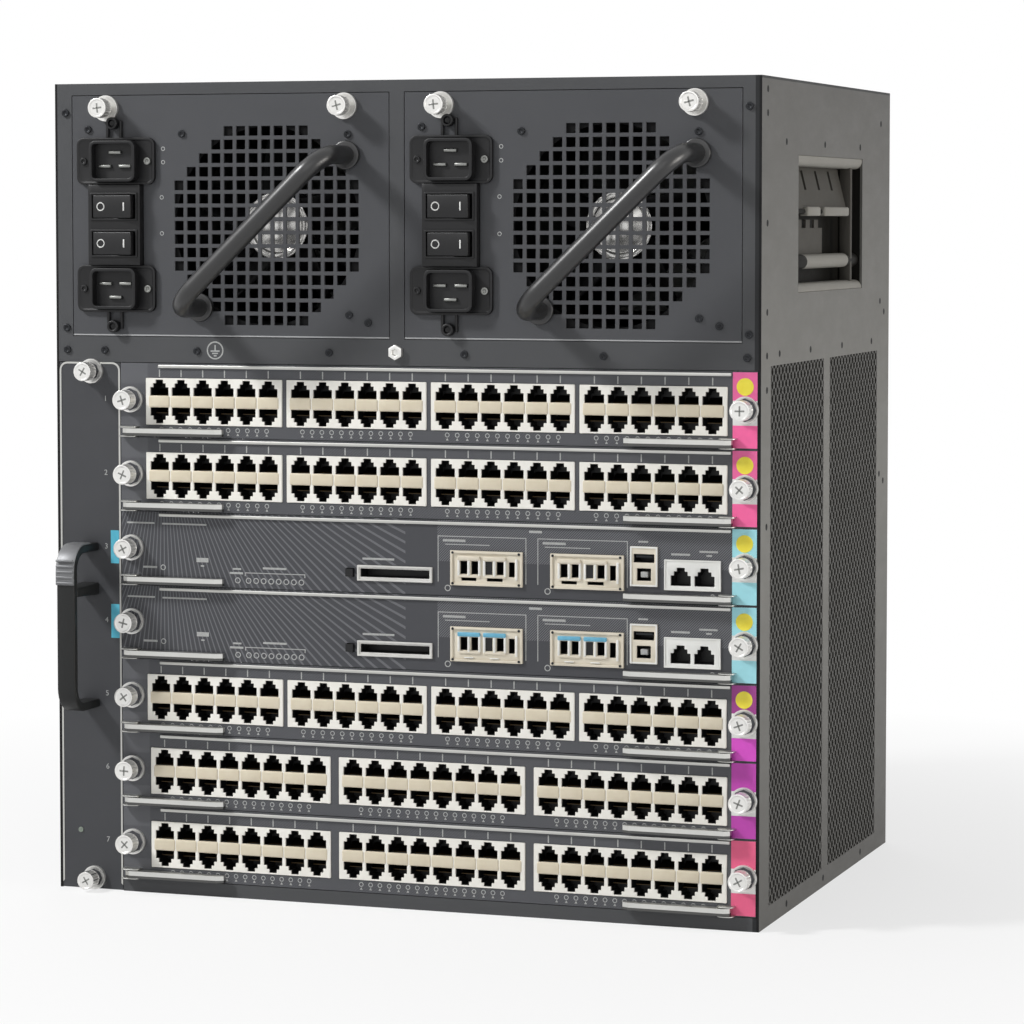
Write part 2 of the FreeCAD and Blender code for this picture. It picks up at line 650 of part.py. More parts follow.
def supervisor_jacks(slot):
    """The supervisor's sockets: optical, serial, management and memory card."""
    body = make_body("slot_%d_jacks" % slot, z=slot_floor(slot))
    outline = make_sketch(body, "XZ_Plane", "jack_proud")
    for edges in supervisor_blocks():
        rectangle(outline, *edges)
    add(body, outline, "jack_depth", back=True)
    holes = make_sketch(body, "XZ_Plane", "jack_proud")
    for number in range(2):
        for place in (1, 3):
            middle = "optic_left + %d*optic_pitch + %d*optic_width/4" % (number, place)
            low = "optic_floor + optic_height/2 - cage_rise/2"
            rectangle(holes, middle + " - cage_mouth/2", low, middle + " + cage_mouth/2",
                      low + " + cage_rise")
    middle = "serial_left + serial_width/2"
    rectangle(holes, middle + " - 6.2", "serial_floor + 13.5", middle + " + 6.2",
              "serial_floor + 18.6")
    rectangle(holes, middle + " - 4.2", "serial_floor + 3", middle + " + 4.2",
              "serial_floor + 10.6")
    for place in (1, 3):
        middle = "manage_left + block_edge + 0.8 + %d*port_pitch/2" % place
        keyed_opening(holes, middle, "manage_floor + 3",
                      "manage_floor + manage_height - port_margin", ("high",))
    rectangle(holes, "memory_left + memory_rim", "memory_floor + memory_rim",
              "memory_left + memory_width - memory_rim",
              "memory_floor + memory_height - memory_rim")
    cut(body, holes, "port_depth")
    return kept(body)


def ejector(slot, side):
    """One ejector lever, which lies along the card's lower edge and swings out."""
    name = "left" if side > 0 else "right"
    pivot = "%s + screw_inset" % CARD_LEFT if side > 0 else "%s - right_pivot" % CARD_RIGHT
    body = make_body("slot_%d_%s_ejector" % (slot, name), x=pivot,
                     y="-lever_radius - slide_gap",
                     z="%s + lever_lift" % slot_floor(slot))
    sketch = make_sketch(body, "XY_Plane")
    points = [("0", "lever_radius"), ("-0.87*lever_radius", "0.5*lever_radius"),
              ("-0.87*lever_radius", "-0.5*lever_radius"), ("0", "-lever_radius"),
              ("lever_length - 4", "-0.8*lever_radius"),
              ("lever_length", "-0.3*lever_radius"), ("lever_length", "0.5*lever_radius")]
    polygon(sketch, [("%d*(%s)" % (side, x), y) for x, y in points])
    add(body, sketch, "lever_height")
    return kept(body)


# --- power supplies --------------------------------------------------------

def psu_origin(side):
    """The left end of a power supply's opening."""
    return "frame_stile - width/2" if side == "left" else "psu_mullion/2"


def psu_case(side):
    """The casing and faceplate, with the grille's rows cut through the faceplate."""
    body = make_body("psu_%s_case" % side, x=psu_origin(side), z=PSU_FLOOR)
    right = PSU_WIDTH + " - case_inset"
    tube = make_sketch(body, "XZ_Plane", "-plate")
    rectangle(tube, "case_inset", "face_gap", right, PSU_TOP)
    rectangle(tube, "case_inset + case_sheet", "face_gap + case_sheet",
              right + " - case_sheet", PSU_TOP + " - case_sheet")
    add(body, tube, "psu_depth - plate", back=True)
    rear = make_sketch(body, "XZ_Plane", "-psu_depth")
    rectangle(rear, "case_inset", "face_gap", right, PSU_TOP)
    add(body, rear, "case_sheet")
    face = make_sketch(body, "XZ_Plane")
    rectangle(face, "face_gap", "face_gap", PSU_WIDTH + " - face_gap", PSU_TOP)
    half = "entry_width/2 + fit"
    rise = "inlet_spread + inlet_height/2 + fit"
    rectangle(face, "entry_from_left - (%s)" % half, "entry_rise - (%s)" % rise,
              "entry_from_left + %s" % half, "entry_rise + %s" % rise)
    add(body, face, "plate", back=True)
    rows = make_sketch(body, "XZ_Plane")
    for number, holes in enumerate(GRILLE_ROWS):
        reach = "(%d*grille_pitch - grille_bar)/2" % holes
        low = "grille_rise + %g*grille_pitch - (grille_pitch - grille_bar)/2" % (number - 7)
        rectangle(rows, "grille_from_left - " + reach, low,
                  "grille_from_left + " + reach, low + " + grille_pitch - grille_bar")
    cut(body, rows, "plate")
    for x in ("psu_screw_left", PSU_WIDTH + " - psu_screw_right"):
        captive_screw(body, x, "psu_bay - psu_screw_drop")
    return kept(body)


def psu_fan_frame(side):
    """The fan's frame: a guard of upright bars, four walls and the rotor's strut."""
    body = make_body("psu_%s_fan_frame" % side, x=psu_origin(side) + " + grille_from_left",
                     y="plate", z=PSU_FLOOR + " + grille_rise")
    guard = make_sketch(body, "XZ_Plane")
    rectangle(guard, "-fan_frame/2", "-fan_frame/2", "fan_frame/2", "fan_frame/2")
    for number, holes in enumerate(GRILLE_ROWS):
        left = "%g*grille_pitch - (grille_pitch - grille_bar)/2" % (number - 7)
        reach = "(%d*grille_pitch - grille_bar)/2" % holes
        rectangle(guard, left, "-" + reach, left + " + grille_pitch - grille_bar", reach)
    add(body, guard, "guard_sheet", back=True)
    walls = make_sketch(body, "XZ_Plane", "-guard_sheet")
    rectangle(walls, "-fan_frame/2", "-fan_frame/2", "fan_frame/2", "fan_frame/2")
    inner = "fan_frame/2 - fan_frame_wall"
    rectangle(walls, "-(%s)" % inner, "-(%s)" % inner, inner, inner)
    add(body, walls, "fan_frame_depth", back=True)
    strut = make_sketch(body, "XZ_Plane", "-(guard_sheet + fan_frame_depth)")
    rectangle(strut, "-fan_strut/2", "-fan_frame/2", "fan_strut/2", "fan_frame/2")
    add(body, strut, "fan_frame_wall", back=True)
    return kept(body)


def psu_power_entry(side):
    """The moulding with two mains inlets and the bezel of two rocker switches."""
    body = make_body("psu_%s_power_entry" % side, x=psu_origin(side) + " + entry_from_left",
                     z=PSU_FLOOR + " + entry_rise")
    base = make_sketch(body, "XZ_Plane")
    low = "inlet_spread - inlet_flange_height/2"
    for sign in (-1, 1):
        rectangle(base, "-inlet_flange_width/2", "%d*(%s)" % (sign, low),
                  "inlet_flange_width/2", "%d*(%s + inlet_flange_height)" % (sign, low))
    add(body, base, "entry_sheet")
    bezel = make_sketch(body, "XZ_Plane")
    rectangle(bezel, "-entry_width/2", "-(%s)" % low, "entry_width/2", low)
    add(body, bezel, "rocker_bezel")
    rear = make_sketch(body, "XZ_Plane")
    rise = "inlet_spread + inlet_height/2"
    rectangle(rear, "-entry_width/2", "-(%s)" % rise, "entry_width/2", rise)
    add(body, rear, "entry_depth", back=True)
    for wall, tool, length, offset in (("0", add, "inlet_proud - entry_sheet", "entry_sheet"),
                                       ("inlet_wall", cut, "inlet_cavity", "inlet_proud")):
        shroud = make_sketch(body, "XZ_Plane", offset)
        for sign in (-1, 1):
            middle = "%d*inlet_spread" % sign
            rectangle(shroud, "%s - inlet_width/2" % wall,
                      "%s - inlet_height/2 + %s" % (middle, wall),
                      "inlet_width/2 - %s" % wall,
                      "%s + inlet_height/2 - %s" % (middle, wall))
        tool(body, shroud, length)
    wells = make_sketch(body, "XZ_Plane", "rocker_bezel")
    for sign in (-1, 1):
        middle = "%d*rocker_spread" % sign
        rectangle(wells, "-rocker_window/2", middle + " - rocker_height/2 - slide_gap",
                  "rocker_window/2", middle + " + rocker_height/2 + slide_gap")
    cut(body, wells, "rocker_well")
    return kept(body)


def psu_rocker(side, place):
    """One rocker switch, resting with its left half pressed in."""
    sign = 1 if place == "upper" else -1
    body = make_body("psu_%s_%s_rocker" % (side, place),
                     x=psu_origin(side) + " + entry_from_left", y="-rocker_bezel",
                     z=PSU_FLOOR + " + entry_rise + %d*rocker_spread" % sign,
                     axis=Vector(0, 0, 1), angle="-rocker_tilt")
    sketch = make_sketch(body, "XY_Plane", "-rocker_height/2")
    polygon(sketch, [("-rocker_length/2", "-2.6"), ("0", "-0.8"), ("rocker_length/2", "-2.6"),
                     ("rocker_length/2", "1.4"), ("0", "6"), ("-rocker_length/2", "1.4")])
    add(body, sketch, "rocker_height")
    return kept(body)


def bend(radius, x, y, x_sign, y_sign, steps):
    """Points on a quarter bend that starts across the corner x, y and ends along it."""
    points = []
    for step in range(steps + 1):
        angle = math.radians(90 * step / steps)
        points.append(("%s + %.4f*%s" % (x, x_sign * (1 - math.cos(angle)), radius),
                       "%s + %.4f*%s" % (y, y_sign * (1 - math.sin(angle)), radius)))
    return points


def psu_handle(side):
    """The bent tube that the power supply is pulled by, with a foot at each end."""
    body = make_body("psu_%s_handle" % side, x=psu_origin(side) + " + grab_from_left",
                     z=PSU_FLOOR + " + grab_rise",
                     axis=Vector(0, 1, 0), angle="-grab_tilt")
    left = bend("grab_bend", "-grab_span/2", "-grab_reach", 1, 1, BEND_FLATS)
    right = bend("grab_bend", "grab_span/2", "-grab_reach", -1, 1, BEND_FLATS)
    stops = [("-grab_span/2", "0")] + left + right[::-1] + [("grab_span/2", "0")]
    path = make_sketch(body, "XY_Plane")
    spots = [Vector(value(x), value(y), 0) for x, y in stops]
    count = len(stops) - 1
    path.addGeometry([Part.LineSegment(spots[n], spots[n + 1]) for n in range(count)], False)
    rules = [Sketcher.Constraint("Coincident", n, 2, n + 1, 1) for n in range(count - 1)]
    rules.append(Sketcher.Constraint("Vertical", count - 1))
    rules.append(Sketcher.Constraint("PointOnObject", count - 1, 2, -1))
    constrain(path, rules, [(n, x, y) for n, (x, y) in enumerate(stops[:-1])])
    ring = make_sketch(body, "XZ_Plane")
    corners = []
    for number in range(8):
        angle = math.radians(22.5 + 45 * number)
        corners.append(("%.4f*grab_radius - grab_span/2" % math.cos(angle),
                        "%.4f*grab_radius" % math.sin(angle)))
    polygon(ring, corners)
    doc.recompute()
    tube = body.newObject("PartDesign::AdditivePipe", "Tube")
    tube.Profile = ring
    tube.Spine = (path, [])
    tube.Transition = "Right corner"
    for sign in (-1, 1):
        prism(body, "%d*grab_span/2" % sign, "0", "0", "grab_foot", "grab_foot_length")
    return kept(body)


def rotor(label, x, y, z, **turned):
    """A fan rotor that turns about its own y axis, its hub ending at y = 0."""
    body = make_body(label, x=x, y=y, z=z, **turned)
    prism(body, "0", "0", "0", "hub_radius", "hub_length", sides=BLADES)
    flat = "%.4f*hub_radius" % math.cos(math.pi / BLADES)
    blade = make_sketch(body, "YZ_Plane", "-" + flat)
    rear, front = "-0.1*hub_length", "-0.95*hub_length"
    polygon(blade, [(rear, "-hub_radius/2"), (front + " + blade_sheet", "hub_radius/2"),
                    (front, "hub_radius/2"), (rear + " - blade_sheet", "-hub_radius/2")])
    first = add(body, blade, "rotor_radius - " + flat, back=True)
    ring = body.newObject("PartDesign::PolarPattern", "Blades")
    ring.Originals = [first]
    axis = next(part for part in body.Origin.OriginFeatures if part.Role == "Y_Axis")
    ring.Axis = (axis, [""])
    ring.Angle = 360
    ring.Occurrences = BLADES
    body.Tip = ring
    return kept(body)


def power_supply(side):
    """Everything that slides out with one power supply."""
    psu_case(side)
    psu_fan_frame(side)
    psu_power_entry(side)
    for place in ("upper", "lower"):
        psu_rocker(side, place)
    psu_handle(side)
    rotor("psu_%s_rotor" % side, psu_origin(side) + " + grille_from_left",
          STRUT_FRONT + " - slide_gap", PSU_FLOOR + " + grille_rise")


# --- fan tray --------------------------------------------------------------

def fan_tray():
    """The tray: faceplate, two runners and a wall with a mouth for each fan."""
    body = make_body("fan_tray")
    face = make_sketch(body, "XZ_Plane")
    rectangle(face, TRAY_LEFT, "face_gap", TRAY_RIGHT, CAGE_TOP + " - face_gap")
    add(body, face, "plate", back=True)
    wall = make_sketch(body, "YZ_Plane", TRAY_WALL)
    rectangle(wall, "plate", "wall + slide_gap", "tray_depth", CAGE_TOP + " - slide_gap")
    add(body, wall, "plate")
    mouths = make_sketch(body, "YZ_Plane", TRAY_WALL)
    for row in TRAY_ROWS.values():
        for column in TRAY_COLUMNS.values():
            for side in (-1, 1):
                points = [("fan_strut/2", "-fan_mouth"), ("0.87*fan_mouth", "-0.5*fan_mouth"),
                          ("0.87*fan_mouth", "0.5*fan_mouth"), ("fan_strut/2", "fan_mouth")]
                polygon(mouths, [("fan_reach + %d*fan_column_pitch + %d*%s" % (column, side, y),
                                  "fan_rise + %d*fan_row_pitch + %s" % (row, z))
                                 for y, z in points])
    cut(body, mouths, "plate", back=True)
    runners = make_sketch(body, "XY_Plane", "wall + slide_gap")
    rectangle(runners, TRAY_LEFT, "plate", TRAY_RIGHT, "tray_depth")
    add(body, runners, "plate")
    ceiling = make_sketch(body, "XY_Plane", CAGE_TOP + " - slide_gap - plate")
    rectangle(ceiling, TRAY_LEFT, "plate", TRAY_RIGHT, "tray_depth")
    add(body, ceiling, "plate")
    x = TRAY_LEFT + " + tray_screw_inset"
    for z in ("tray_screw_rise", CAGE_TOP + " - tray_screw_drop"):
        captive_screw(body, x, z, "tray_collar_radius")
    return kept(body)


def fan_tray_handle():
    """The moulded pull of the tray, with a small finger hole over a long one."""
    body = make_body("fan_tray_handle", z="strap_floor", x=TRAY_LEFT + " + strap_from_left")
    sketch = make_sketch(body, "YZ_Plane")
    low = bend("strap_bend", "-strap_reach", "0", 1, 1, 2)
    high = bend("strap_bend", "-strap_reach", "strap_height", 1, -1, 2)
    polygon(sketch, [("0", "0")] + low[::-1] + high + [("0", "strap_height")])
    front = "strap_thickness - strap_reach"
    back = "-0.4*strap_thickness"
    split = "strap_height - 2*strap_thickness - strap_finger"
    polygon(sketch, [(back, "strap_thickness"), ("%s + strap_thickness" % front, "strap_thickness"),
                     (front, "2*strap_thickness"), (front, split), (back, split)])
    lower = "%s + strap_thickness" % split
    upper = "strap_height - strap_thickness"
    polygon(sketch, [(back, lower), (front, lower), (front, upper + " - strap_thickness"),
                     ("%s + strap_thickness" % front, upper), (back, upper)])
    add(body, sketch, "strap_width")
    return kept(body)


def tray_rotors():
    """The tray's rotors, each carried by the strut across its mouth."""
    for row_name, row in TRAY_ROWS.items():
        for column_name, column in TRAY_COLUMNS.items():
            rotor("%s_%s_rotor" % (row_name, column_name),
                  TRAY_WALL + " + plate + slide_gap",
                  "fan_reach + %d*fan_column_pitch" % column,
                  "fan_rise + %d*fan_row_pitch" % row,
                  axis=Vector(0, 0, 1), angle="90")


# --- assembly and files ----------------------------------------------------

front_frame()
side_panel("left", -1)
side_panel("right", 1)
base_pan()
top_cover()
rear_panel()
psu_shelf()
card_cage()
backplane()
side_handles()
for slot, kind in LINE_CARDS.items():
    line_card(slot, kind)
    jack_blocks(slot, kind)
for slot in SUPERVISORS:
    card(slot, supervisor_blocks(), button_edges())
    supervisor_jacks(slot)
    eject_button(slot)
for slot in range(1, SLOTS + 1):
    ejector(slot, 1)
    ejector(slot, -1)
for side in ("left", "right"):
    power_supply(side)
fan_tray()
fan_tray_handle()
tray_rotors()
doc.recompute()

for item in doc.Objects:
    if "Invalid" in item.State or "Error" in item.State:
        raise RuntimeError("%s did not build" % item.Label)
for item in parts:
    if item.Shape.isNull() or not item.Shape.isValid():
        raise RuntimeError("%s has no valid shape" % item.Label)
os.makedirs("parts", exist_ok=True)
for item in parts:
    item.Shape.exportStep("parts/%s.step" % item.Label)
print("%d parts written" % len(parts))
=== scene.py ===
import math

import bmesh
import bpy
from mathutils import Matrix, Vector


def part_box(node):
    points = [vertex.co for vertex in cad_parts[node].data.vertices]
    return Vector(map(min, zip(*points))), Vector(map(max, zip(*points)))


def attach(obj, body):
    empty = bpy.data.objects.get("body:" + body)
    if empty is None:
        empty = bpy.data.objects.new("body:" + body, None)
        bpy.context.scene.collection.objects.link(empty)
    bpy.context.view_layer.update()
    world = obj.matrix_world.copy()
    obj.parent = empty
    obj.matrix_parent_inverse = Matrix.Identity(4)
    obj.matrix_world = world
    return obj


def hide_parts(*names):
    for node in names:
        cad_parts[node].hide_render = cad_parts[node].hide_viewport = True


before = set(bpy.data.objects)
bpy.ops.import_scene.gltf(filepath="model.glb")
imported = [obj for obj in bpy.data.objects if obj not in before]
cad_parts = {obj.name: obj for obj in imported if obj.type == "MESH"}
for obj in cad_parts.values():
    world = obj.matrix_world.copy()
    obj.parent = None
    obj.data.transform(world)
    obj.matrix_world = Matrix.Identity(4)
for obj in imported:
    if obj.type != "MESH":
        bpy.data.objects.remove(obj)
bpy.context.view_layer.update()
MM = 0.001

# --- Camera, lamps and floor -------------------------------------------------
# A long lens stands a little to the right of the front and just above its middle.
# One large lamp grazes the front from the upper left, and softer ones fill the rest.
face_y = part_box("front_frame")[0].y


def deselect():
    """Leave nothing selected, so that an operator acts on the next piece alone."""
    bpy.ops.object.select_all(action="DESELECT")


yaw, pitch = math.radians(18.997), math.radians(3.355)
aim = Vector((71.1 * MM, face_y, 283.2 * MM))
distance = 2.0923
forward = Vector((-math.sin(yaw) * math.cos(pitch), math.cos(yaw) * math.cos(pitch),
                  -math.sin(pitch)))
deselect()
bpy.ops.object.camera_add(location=aim - forward * distance)
camera = bpy.context.object
camera.rotation_euler = forward.to_track_quat("-Z", "Y").to_euler()
camera.data.lens = 126.988
camera.data.shift_y = -0.078125
camera.data.dof.use_dof = False
bpy.context.scene.camera = camera
bpy.context.scene.view_settings.view_transform = "Standard"


def add_lamp(name, spot, power, size):
    """Add a square lamp that looks at the middle of the object."""
    bpy.ops.object.light_add(type="AREA", location=spot)
    lamp = bpy.context.object
    lamp.name = name
    towards = Vector((0, 0, 0.25)) - Vector(spot)
    lamp.rotation_euler = towards.to_track_quat("-Z", "Y").to_euler()
    lamp.data.energy = power
    lamp.data.size = size
    return lamp


add_lamp("grazing_lamp", (-1.5, -1.15, 1.75), 46, 0.32)
add_lamp("front_lamp", (0.5, -2.6, 1.3), 7, 1.8)
add_lamp("right_lamp", (2.6, -0.4, 0.3), 34, 1.2).data.color = (1.0, 0.96, 0.9)
add_lamp("rear_lamp", (-0.8, 2.4, 1.6), 20, 1.8)

world = bpy.data.worlds.new("studio")
bpy.context.scene.world = world
world.use_nodes = True
sky = world.node_tree
background = sky.nodes["Background"]
background.inputs["Color"].default_value = (0.96, 0.98, 1.0, 1)
background.inputs["Strength"].default_value = 0.21
backdrop = sky.nodes.new("ShaderNodeBackground")
backdrop.inputs["Color"].default_value = (1, 1, 1, 1)
choice = sky.nodes.new("ShaderNodeMixShader")
ray = sky.nodes.new("ShaderNodeLightPath")
seen = ray.outputs["Is Camera Ray"]
for kind in ("Is Glossy Ray", "Is Transmission Ray"):
    either = sky.nodes.new("ShaderNodeMath")
    either.operation = "MAXIMUM"
    sky.links.new(seen, either.inputs[0])
    sky.links.new(ray.outputs[kind], either.inputs[1])
    seen = either.outputs[0]
sky.links.new(seen, choice.inputs[0])
sky.links.new(background.outputs[0], choice.inputs[1])
sky.links.new(backdrop.outputs[0], choice.inputs[2])
sky.links.new(choice.outputs[0], sky.nodes["World Output"].inputs[0])


class Value:
    """Something that a node of a finish puts out; Python's operators add Math nodes."""

    def __init__(self, finish, socket):
        self.finish, self.socket = finish, socket

    def maths(self, operation, *values):
        return self.finish.node("ShaderNodeMath", {"operation": operation}, list(values))

    def __add__(self, other): return self.maths("ADD", self, other)
    def __radd__(self, other): return self.maths("ADD", other, self)
    def __sub__(self, other): return self.maths("SUBTRACT", self, other)
    def __rsub__(self, other): return self.maths("SUBTRACT", other, self)
    def __mul__(self, other): return self.maths("MULTIPLY", self, other)
    def __rmul__(self, other): return self.maths("MULTIPLY", other, self)
    def __truediv__(self, other): return self.maths("DIVIDE", self, other)
    def __lt__(self, other): return self.maths("LESS_THAN", self, other)
    def __gt__(self, other): return self.maths("GREATER_THAN", self, other)
    def __abs__(self): return self.maths("ABSOLUTE", self)


class Finish:
    """A material under construction, with its constants on the shader's own sockets."""

    def __init__(self, name, color, **sockets):
        self.material = bpy.data.materials.new(name)
        self.material.use_nodes = True
        self.tree = self.material.node_tree
        self.shader = self.tree.nodes["Principled BSDF"]
        self.shader.inputs["Base Color"].default_value = (*color, 1)
        for socket, value in sockets.items():
            self.shader.inputs[socket.replace("_", " ")].default_value = value
        self.material.diffuse_color = (*color, 1)

    def node(self, kind, settings, values, out=0):
        """Add a node; values is a list for the first sockets or a dict by name."""
        made = self.tree.nodes.new(kind)
        for key, value in settings.items():
            setattr(made, key, value)
        pairs = values.items() if isinstance(values, dict) else enumerate(values)
        for key, value in pairs:
            if isinstance(value, Value):
                self.tree.links.new(value.socket, made.inputs[key])
            else:
                made.inputs[key].default_value = value
        return Value(self, made.outputs[out])

    def place(self, axis=None):
        """The point being shaded, in metres, or one of its coordinates."""
        point = self.node("ShaderNodeTexCoord", {}, [], out="Object")
        if axis is None:
            return point
        return self.node("ShaderNodeSeparateXYZ", {}, [point], out="XYZ".index(axis))

    def noise(self, scale, detail=3.0, roughness=0.5, stretch=None):
        """Soft noise with features about 1/scale metres wide."""
        point = self.place()
        if stretch:
            point = self.node("ShaderNodeMapping", {}, {"Vector": point, "Scale": stretch})
        return self.node("ShaderNodeTexNoise", {}, {"Vector": point, "Scale": scale,
                                                    "Detail": detail, "Roughness": roughness})

    def feed(self, socket, value):
        """Let a varying value or colour drive one of the shader's sockets."""
        self.tree.links.new(value.socket, self.shader.inputs[socket])
        return self

    def fed(self, socket):
        """The value that drives one of the shader's sockets now."""
        return Value(self, self.shader.inputs[socket].links[0].from_socket)

    def mix(self, factor, dark, light):
        """Go from one colour to another as the factor rises."""
        blend = self.tree.nodes.new("ShaderNodeMix")
        blend.data_type = "RGBA"
        for number, value in ((0, factor), (6, dark), (7, light)):
            if isinstance(value, Value):
                self.tree.links.new(value.socket, blend.inputs[number])
            else:
                blend.inputs[number].default_value = (*value, 1) if number else value
        return Value(self, blend.outputs[2])

    def bump(self, height, depth):
        """Raise the surface by up to depth metres where height is 1."""
        normal = self.node("ShaderNodeBump", {}, {"Strength": 1.0, "Distance": depth,
                                                  "Height": height})
        return self.feed("Normal", normal)


def shade(value):
    """A colour given as it looks, turned into the linear light that the shader mixes."""
    parts = [int(value[n:n + 2], 16) / 255 for n in (1, 3, 5)]
    return tuple(p / 12.92 if p <= 0.04045 else ((p + 0.055) / 1.055) ** 2.4 for p in parts)


deselect()
bpy.ops.mesh.primitive_plane_add(size=12)
floor = bpy.context.object
floor.name = "studio_floor"
floor_finish = Finish("pale_floor", (0.9, 0.9, 0.9), Roughness=0.9)
floor_finish.shader.inputs["Specular IOR Level"].default_value = 0.0
white = floor_finish.node("ShaderNodeEmission", {}, {"Color": (1, 1, 1, 1), "Strength": 1.0})
camera_ray = floor_finish.node("ShaderNodeLightPath", {}, [], out="Is Camera Ray")
glossy_ray = floor_finish.node("ShaderNodeLightPath", {}, [], out="Is Glossy Ray")
clear_ray = floor_finish.node("ShaderNodeLightPath", {}, [], out="Is Transmission Ray")
seen = camera_ray.maths("MAXIMUM", camera_ray.maths("MAXIMUM", camera_ray, glossy_ray),
                        clear_ray)
east, north = floor_finish.place("X"), floor_finish.place("Y")
away = east * east + north * north
spread = seen * (away * 0.55 + 0.66)
blend = floor_finish.tree.nodes.new("ShaderNodeMixShader")
floor_finish.tree.links.new(spread.socket, blend.inputs[0])
floor_finish.tree.links.new(floor_finish.shader.outputs[0], blend.inputs[1])
floor_finish.tree.links.new(white.socket, blend.inputs[2])
floor_finish.tree.links.new(blend.outputs[0],
                            floor_finish.tree.nodes["Material Output"].inputs[0])
floor.data.materials.append(floor_finish.material)


# --- Side walls --------------------------------------------------------------
# Each side wall is one steel sheet in satin grey powder coat, with a window for its
# carrying pocket. Two fields of small staggered holes let the air through the card cage.
def coated(name, color, depth=0.00004, rough=0.46, shine=0.3):
    """Satin powder coat: a fine dimpled skin, a little cloudiness and rubbed patches."""
    finish = Finish(name, shade(color), Roughness=rough, Specular_IOR_Level=shine)
    cloud = finish.noise(9, 5, 0.65)
    deep = tuple(0.88 * part for part in shade(color))
    pale = tuple(1.12 * part for part in shade(color))
    finish.feed("Base Color", finish.mix(cloud, deep, pale))
    rubbed = finish.noise(34, 6, 0.7, stretch=(1, 1, 2.5))
    finish.feed("Roughness", rubbed * 0.22 + (rough - 0.11))
    return finish.bump(finish.noise(1400, 1), depth)


def edit():
    """Go into edit mode."""
    bpy.ops.object.mode_set(mode="EDIT")


def done():
    """Come back from edit mode."""
    bpy.ops.object.mode_set(mode="OBJECT")


def pick_all():
    """Select the whole mesh."""
    bpy.ops.mesh.select_all(action="SELECT")


def drop():
    """Delete the selected faces."""
    bpy.ops.mesh.delete(type="FACE")


def start_piece(name, low, high):
    """Start a piece as a box between two corners, its place in its mesh."""
    deselect()
    low, high = Vector(low), Vector(high)
    bpy.ops.mesh.primitive_cube_add(size=1, location=(low + high) / 2, scale=high - low)
    return settle(name)


def settle(name):
    """Name the piece just added, and move its place into its mesh."""
    piece = bpy.context.object
    piece.name = piece.data.name = name
    bpy.ops.object.transform_apply(location=True, rotation=True, scale=True)
    return piece


def only(piece):
    """Make a piece the one that the next operators act on."""
    deselect()
    piece.select_set(True)
    bpy.context.view_layer.objects.active = piece


def pick(piece, test, kind="FACE"):
    """In edit mode, select just the faces, edges or vertices that pass a test."""
    bpy.ops.mesh.select_mode(type=kind)
    bpy.ops.mesh.select_all(action="DESELECT")
    mesh = bmesh.from_edit_mesh(piece.data)
    for item in {"FACE": mesh.faces, "EDGE": mesh.edges, "VERT": mesh.verts}[kind]:
        item.select_set(bool(test(item)))
    mesh.select_flush_mode()
    bmesh.update_edit_mesh(piece.data)


def modify(piece, kind, **settings):
    """Add one modifier with these settings and apply it."""
    only(piece)
    bpy.ops.object.modifier_add(type=kind)
    modifier = piece.modifiers[-1]
    for key, value in settings.items():
        setattr(modifier, key, value)
    bpy.ops.object.modifier_apply(modifier=modifier.name)
    return piece


def smooth(piece, angle):
    """Shade a piece smooth except at edges sharper than an angle in degrees."""
    only(piece)
    bpy.ops.object.shade_smooth_by_angle(angle=math.radians(angle))


def cut_sheet(name, low, high, across, up, hole, wall, axis=1):
    """Cut cells out of a flat sheet whose lowest corner and highest corner are given.

    The sheet is square to axis, and its front is its low side. Cut lines lie at the
    places across (along the other level axis) and up; hole says which cells go.
    """
    level = 1 - axis
    deselect()
    middle = [(a + b) / 2 for a, b in zip(low, high)]
    middle[axis] = low[axis]
    turn = (math.pi / 2, 0, 0) if axis == 1 else (math.pi / 2, 0, -math.pi / 2)
    bpy.ops.mesh.primitive_plane_add(size=1, location=middle, rotation=turn)
    piece = bpy.context.object
    piece.scale = (high[level] - low[level], high[2] - low[2], 1)
    settle(name)
    edit()
    for direction, places in ((level, across), (2, up)):
        normal = [0, 0, 0]
        normal[direction] = 1
        for place in places:
            point = [0, 0, 0]
            point[direction] = place
            pick_all()
            bpy.ops.mesh.bisect(plane_co=point, plane_no=normal)
    pick(piece, lambda face: hole(face.calc_center_median()[level],
                                  face.calc_center_median()[2]))
    drop()
    done()
    return modify(piece, "SOLIDIFY", thickness=wall, offset=-1, use_even_offset=True)


def paint(piece, *finishes):
    """Give a piece its finishes, in the order of its material numbers."""
    piece.data.materials.clear()
    for finish in finishes:
        piece.data.materials.append(finish.material)
    return piece


def join(name, pieces):
    """Join several pieces into the first of them."""
    deselect()
    for piece in pieces:
        piece.select_set(True)
    bpy.context.view_layer.objects.active = pieces[0]
    bpy.ops.object.join()
    pieces[0].name = pieces[0].data.name = name
    return pieces[0]


shell_paint = coated("shell_paint", "#7a7975", shine=0.12)
# The bars of the hole fields are painted darker than the rest of the same sheet, as painted
# shade for the dark seen through the holes.
field_paint = coated("field_paint", "#4b4a47", shine=0.1)
height, across = shell_paint.place("Z"), abs(shell_paint.place("X"))
top_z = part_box("right_side_panel")[1].z
pale_level, dark_reach, darkening, outer_strip = 0.24, 0.27, 0.85, 216.4 * MM
# A dark line runs along the top edge. The near-black strip along the front edge is painted
# shade for the gap to the front frame.
dark_top_line_and_gap_shade = height.maths("MAXIMUM", height > top_z - 1.5 * MM,
                    shell_paint.place("Y") < face_y + 0.25 * MM)
